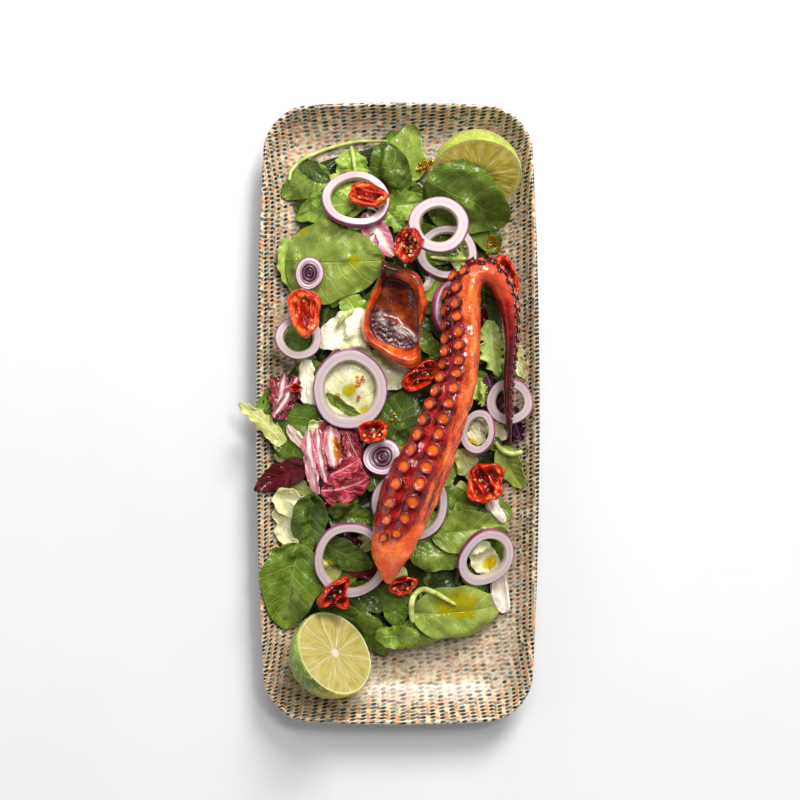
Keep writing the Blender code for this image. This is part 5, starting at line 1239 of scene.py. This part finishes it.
cut_end = np.clip((33 - run - 7 * signed * (np.abs(signed) < 2) + 2.5 * ripple(skin, 6.0, 35)) / 5, 0, 1)
edge = np.interp(run, (30, 50, 90, 140, 180), (-0.75, -0.95, -0.85, -0.66, -0.55))
edge = edge + 0.08 * ripple(skin, 8.0, 36) + 0.06 * ripple(skin, 2.5, 37)
face = part_way(signed, edge, 0.14) * part_way(signed, 1.1, -0.2) * (1 - cut_end)
purple_side = part_way(signed, 0.75, 0.35) * part_way(signed, 2.6, -0.5) * (1 - cut_end)
deep = np.clip((run - 176 + 8 * ripple(skin, 9.0, 38)) / 30, 0, 1)
maroon = part_way(run, 200, 40)
# A painted highlight: a pale lengthwise band along the thick of the right flank, where the light catches it
pale = 0.8 * bell(signed, -1.25, 0.2) * part_way(run, 80, 40) * part_way(run, 188, -20)
pale *= 0.75 + 0.5 * ripple(np.stack((run / 16.0, girth / 5.0), -1), 1.0, 39)

# Octopus skin: collagen turned to jelly and glazed by the grill, with the brightest gloss of the whole plate. The
# flank is salmon and orange, streaked lengthwise with brown creases that painted shade deepens, with a painted
# highlight along its thick; the face between the suckers is wine red.
ARM_FIELDS = "run girth face purple deep maroon crease cut"
arm_skin, tree, shader, place, *given = start_material(
    "grilled_octopus_skin", 0.22, 1.42, ARM_FIELDS, Specular_IOR_Level=0.25, Coat_Weight=0.75, Coat_Roughness=0.05,
    Subsurface_Weight=0.08, Subsurface_Scale=0.002)
field = dict(zip(ARM_FIELDS.split(), given))
stretched = add(tree, "CombineXYZ", {0: add(tree, "Math", {0: field["run"], 1: 0.07}, operation="MULTIPLY"),
                                     1: add(tree, "Math", {0: field["girth"], 1: 0.26}, operation="MULTIPLY"),
                                     2: 0.0})
streaks = add(tree, "TexNoise", {"Vector": stretched, "Scale": 1.0, "Detail": 5.0, "Roughness": 0.62})
smooth = add(tree, "MapRange", {0: field["run"], 1: 110.0, 2: 165.0, 4: 0.5})
streaks = add(tree, "MixRGB", {0: smooth, 1: streaks, 2: (0.60, 0.60, 0.60, 1.0)})
# Through the crease field raised wrinkles come out paler and troughs darker, partly painted shade; the flank's painted
# highlight band comes in here too
streaks = add(tree, "Math", {0: field["crease"], 1: 0.35, 2: streaks}, operation="MULTIPLY_ADD")
streaks = add(tree, "Math", {0: streaks, 1: 0.14}, operation="SUBTRACT", use_clamp=True)
blotch = add(tree, "TexNoise", {"Vector": place, "Scale": 150.0, "Detail": 5.0, "Roughness": 0.6})
orange = add(tree, "ValToRGB", {0: streaks}, stops=((0.18, "#4c1206"), (0.28, "#9c3210"), (0.38, "#cc5222"),
                                                    (0.55, "#e27030"), (0.78, "#f2a45e")))
# Redder patches in the salmon, and dark specks where its pigment cells stayed whole
patches = add(tree, "TexNoise", {"Vector": place, "Scale": 75.0, "Detail": 5.0, "Roughness": 0.65})
patches = add(tree, "MapRange", {0: patches, 1: 0.48, 2: 0.64, 4: 0.7})
orange = add(tree, "MixRGB", {0: patches, 1: orange, 2: "#a82a10"})
specks = add(tree, "TexNoise", {"Vector": place, "Scale": 900.0, "Detail": 2.0})
specks = add(tree, "MapRange", {0: specks, 1: 0.58, 2: 0.68, 4: 0.65})
orange = add(tree, "MixRGB", {0: specks, 1: orange, 2: "#6a1208"})
colour = orange
for name, stops in (
    ("purple", ((0.3, "#24050a"), (0.5, "#5a1012"), (0.7, "#84281e"))),
    ("cut", ((0.3, "#cc3c10"), (0.5, "#ea5c24"), (0.7, "#f88a4c"))),
    ("deep", ((0.3, "#5c0604"), (0.5, "#a81408"), (0.7, "#d04428"))),
    ("face", ((0.34, "#3c0203"), (0.5, "#8a0907"), (0.66, "#b81e10"))),
    ("maroon", ((0.3, "#160204"), (0.5, "#38060a"), (0.7, "#5e0e12"))),
):
    colour = add(tree, "MixRGB", {0: field[name], 1: colour, 2: add(tree, "ValToRGB", {0: blotch}, stops)})
fine = add(tree, "TexNoise", {"Vector": place, "Scale": 620.0, "Detail": 3.0})
relief = add(tree, "Math", {0: streaks, 1: 1.5, 2: fine}, operation="MULTIPLY_ADD")
bump = add(tree, "Bump", {"Height": relief, "Strength": 0.55, "Distance": 0.0008})
connect(tree, shader, {"Base Color": colour, "Normal": bump})
# The crease field carries the painted shade of the wrinkles and the painted highlight of the flank
arm = grid_piece("octopus_arm_skin", arm_points, True, run=capped(run), girth=capped(girth), face=capped(face),
                 purple=capped(purple_side * 0.85), deep=capped(deep), maroon=capped(maroon), cut=capped(cut_end),
                 crease=capped(dried * (wrinkle - 0.5) + pale))
serve(arm, arm_skin, "octopus", "octopus_arm")

# The suckers: stubby muscular cups with a raised rim round a dished disc. One is modelled as a turned profile and
# copied along both rows; each copy is turned out from the arm's middle line and stretched a little its own way.
SUCKER_PROFILE = (
    (0.96, -0.30), (1.02, -0.05), (0.90, 0.22), (0.84, 0.42), (0.90, 0.60), (1.00, 0.76), (1.02, 0.88), (0.94, 0.99),
    (0.84, 1.0), (0.76, 0.94), (0.70, 0.80), (0.62, 0.70), (0.46, 0.66), (0.28, 0.66), (0.12, 0.68), (0.0, 0.68),
)
profile = smooth_line(SUCKER_PROFILE, 31)
around = np.linspace(0, TURN, 21)
cup = oval_loop(profile[:, :1], profile[:, :1], profile[:, 1:], around)
parts = []
for index, (point, normal, way, radius) in enumerate(suckers):
    rng = np.random.default_rng(500 + index)
    axis = unit(normal + 0.10 * rng.normal(size=3))
    first = unit(np.cross(axis, way))
    second = np.cross(axis, first)
    swell = radius * rng.uniform(0.94, 1.08)
    oval = rng.uniform(0.90, 1.08)
    tall = 2.35 * (radius / 3.2) ** 0.8 * rng.uniform(0.9, 1.1)
    shaped = cup[..., :1] * first * swell * oval + cup[..., 1:2] * second * swell / oval + cup[..., 2:] * axis * tall
    dent = 1 + 0.05 * ripple(cup[..., :2], 1.0, 600 + index)
    parts.append(point + 0.28 * radius * normal + shaped * dent[..., None])
# From the middle of the disc (0) over the rim to the root (1)
place_on_cup = np.linspace(1, 0, len(profile))[:, None] + 0 * around
sucker_flesh, tree, shader, place, cup_place, aged = start_material(
    "octopus_sucker_glazed", 0.18, 1.42, "cup dark", Specular_IOR_Level=0.25, Coat_Weight=0.75, Coat_Roughness=0.04,
    Subsurface_Weight=0.1, Subsurface_Scale=0.002)
blotch = add(tree, "TexNoise", {"Vector": place, "Scale": 260.0, "Detail": 3.0})
wander = add(tree, "Math", {0: blotch, 1: 0.10, 2: cup_place}, operation="MULTIPLY_ADD")
wander = add(tree, "Math", {0: wander, 1: 0.05}, operation="SUBTRACT")
tint = add(tree, "ValToRGB", {0: wander}, stops=((0.0, "#e8801c"), (0.16, "#dc6414"), (0.30, "#c4440e"),
                                                 (0.38, "#a21e0a"), (0.46, "#96120a"), (0.6, "#700806"),
                                                 (1.0, "#420404")))
colour = add(tree, "MixRGB", {0: aged, 1: tint, 2: "#4c0a0e"})
bump = add(tree, "Bump", {"Height": blotch, "Strength": 0.3, "Distance": 0.0005})
connect(tree, shader, {"Base Color": colour, "Normal": bump})
# Down the thin limb, from this one on, the suckers are dark
FIRST_DARK = 46
cups = []
for index, points in enumerate(parts):
    old = max(min((index - FIRST_DARK) / 14, 0.75), np.random.default_rng(index).uniform(0.0, 0.32)) + 0 * place_on_cup
    cups.append(grid_piece(f"sucker_{index}", points, cup=place_on_cup, dark=old))
all_cups = join(cups, "octopus_suckers")
sew()
bpy.ops.object.shade_smooth()
serve(all_cups, sucker_flesh, "octopus")

# ---------------------------------------------------------------- the dressing
# Olive oil and lime juice with whole mustard seeds, spooned over at the end: thin amber films on the leaves, drops on
# the platter, and the seeds where they ran together.

oil_amber = mottled_material("olive_oil_dressing", 0.06, 1.47, 90.0, 2.0, ((0.3, "#e0a81c"), (0.6, "#e8c030")),
                             Transmission_Weight=0.9)

top_map = np.maximum(laid_map, np.where(np.isnan(leaf_top), 0, leaf_top))
# X, Y, half length, half width, turn (degrees) and thickness of each drop (mm)
OIL = (
    (-43.0, 26.5, 2.0, 1.6, 0, 0.6), (15.5, 141.0, 3.4, 2.6, 0, 0.9), (19.5, 143.5, 2.2, 1.8, 0, 0.8),
    (12.0, 138.0, 1.5, 1.3, 0, 0.6), (54.0, 98.0, 3.0, 2.4, 20, 0.8), (57.5, 93.0, 2.0, 1.6, 0, 0.6),
    (51.0, 90.5, 1.6, 1.2, 0, 0.6), (-34.0, 10.0, 1.5, 1.2, 0, 0.5), (-8.0, -10.0, 1.4, 1.2, 0, 0.5),
)
drops = []
for index, (x, y, length, width, turn, thickness) in enumerate(OIL):
    r, theta = np.meshgrid(np.linspace(0, 1, 12), np.linspace(0, TURN, 41), indexing="ij")
    edge = 1 + 0.14 * ripple(on_circle(theta), 1.0, 700 + index)
    a, b = turned(length * r * edge * np.cos(theta), width * r * edge * np.sin(theta), math.radians(turn))
    px, py = x + a, y + b
    height = read_map(soften(top_map, 0.8), px, py) + thickness * (1 - r**2.5) + 0.15 - 0.5 * (r > 0.97)
    drops.append(grid_piece(f"oil_{index}", np.stack((px, py, height), -1)))
films = join(drops, "oil_films")
sew(outward=False)
thicken(films, 0.25)
serve(films, oil_amber, "salad_leaf")

# Whole mustard seeds, about 1.6 mm, soaked and glossy
mustard_seed = mottled_material("mustard_seed_soaked", 0.25, 1.45, 420.0, 2.0,
                                ((0.3, "#a8520e"), (0.5, "#cf7a1c"), (0.7, "#e0a040")))
clusters = ((-21.0, 18.0, 3.4, 13), (-23.0, 9.0, 2.0, 4), (14.5, 140.5, 3.0, 6), (52.5, 97.0, 4.0, 6),
            (-2.0, -2.0, 3.0, 3), (-52.0, 66.0, 2.0, 4), (41.0, 60.0, 4.0, 4), (38.0, -17.0, 4.0, 4))
places = []
rng = np.random.default_rng(5)
for x, y, reach, number in clusters:
    for _ in range(number):
        sx, sy = x + rng.normal() * reach * 0.5, y + rng.normal() * reach * 0.5
        z = float(read_map(top_map, np.array([sx]), np.array([sy]))[0])
        places.append(((sx, sy, z + 0.5), rng.uniform(0, TURN), rng.uniform(0.75, 1.1)))
serve(scattered("mustard_seeds", places, 1.7, 1.5, 1.4), mustard_seed, "salad_leaf")

bpy.context.view_layer.update()
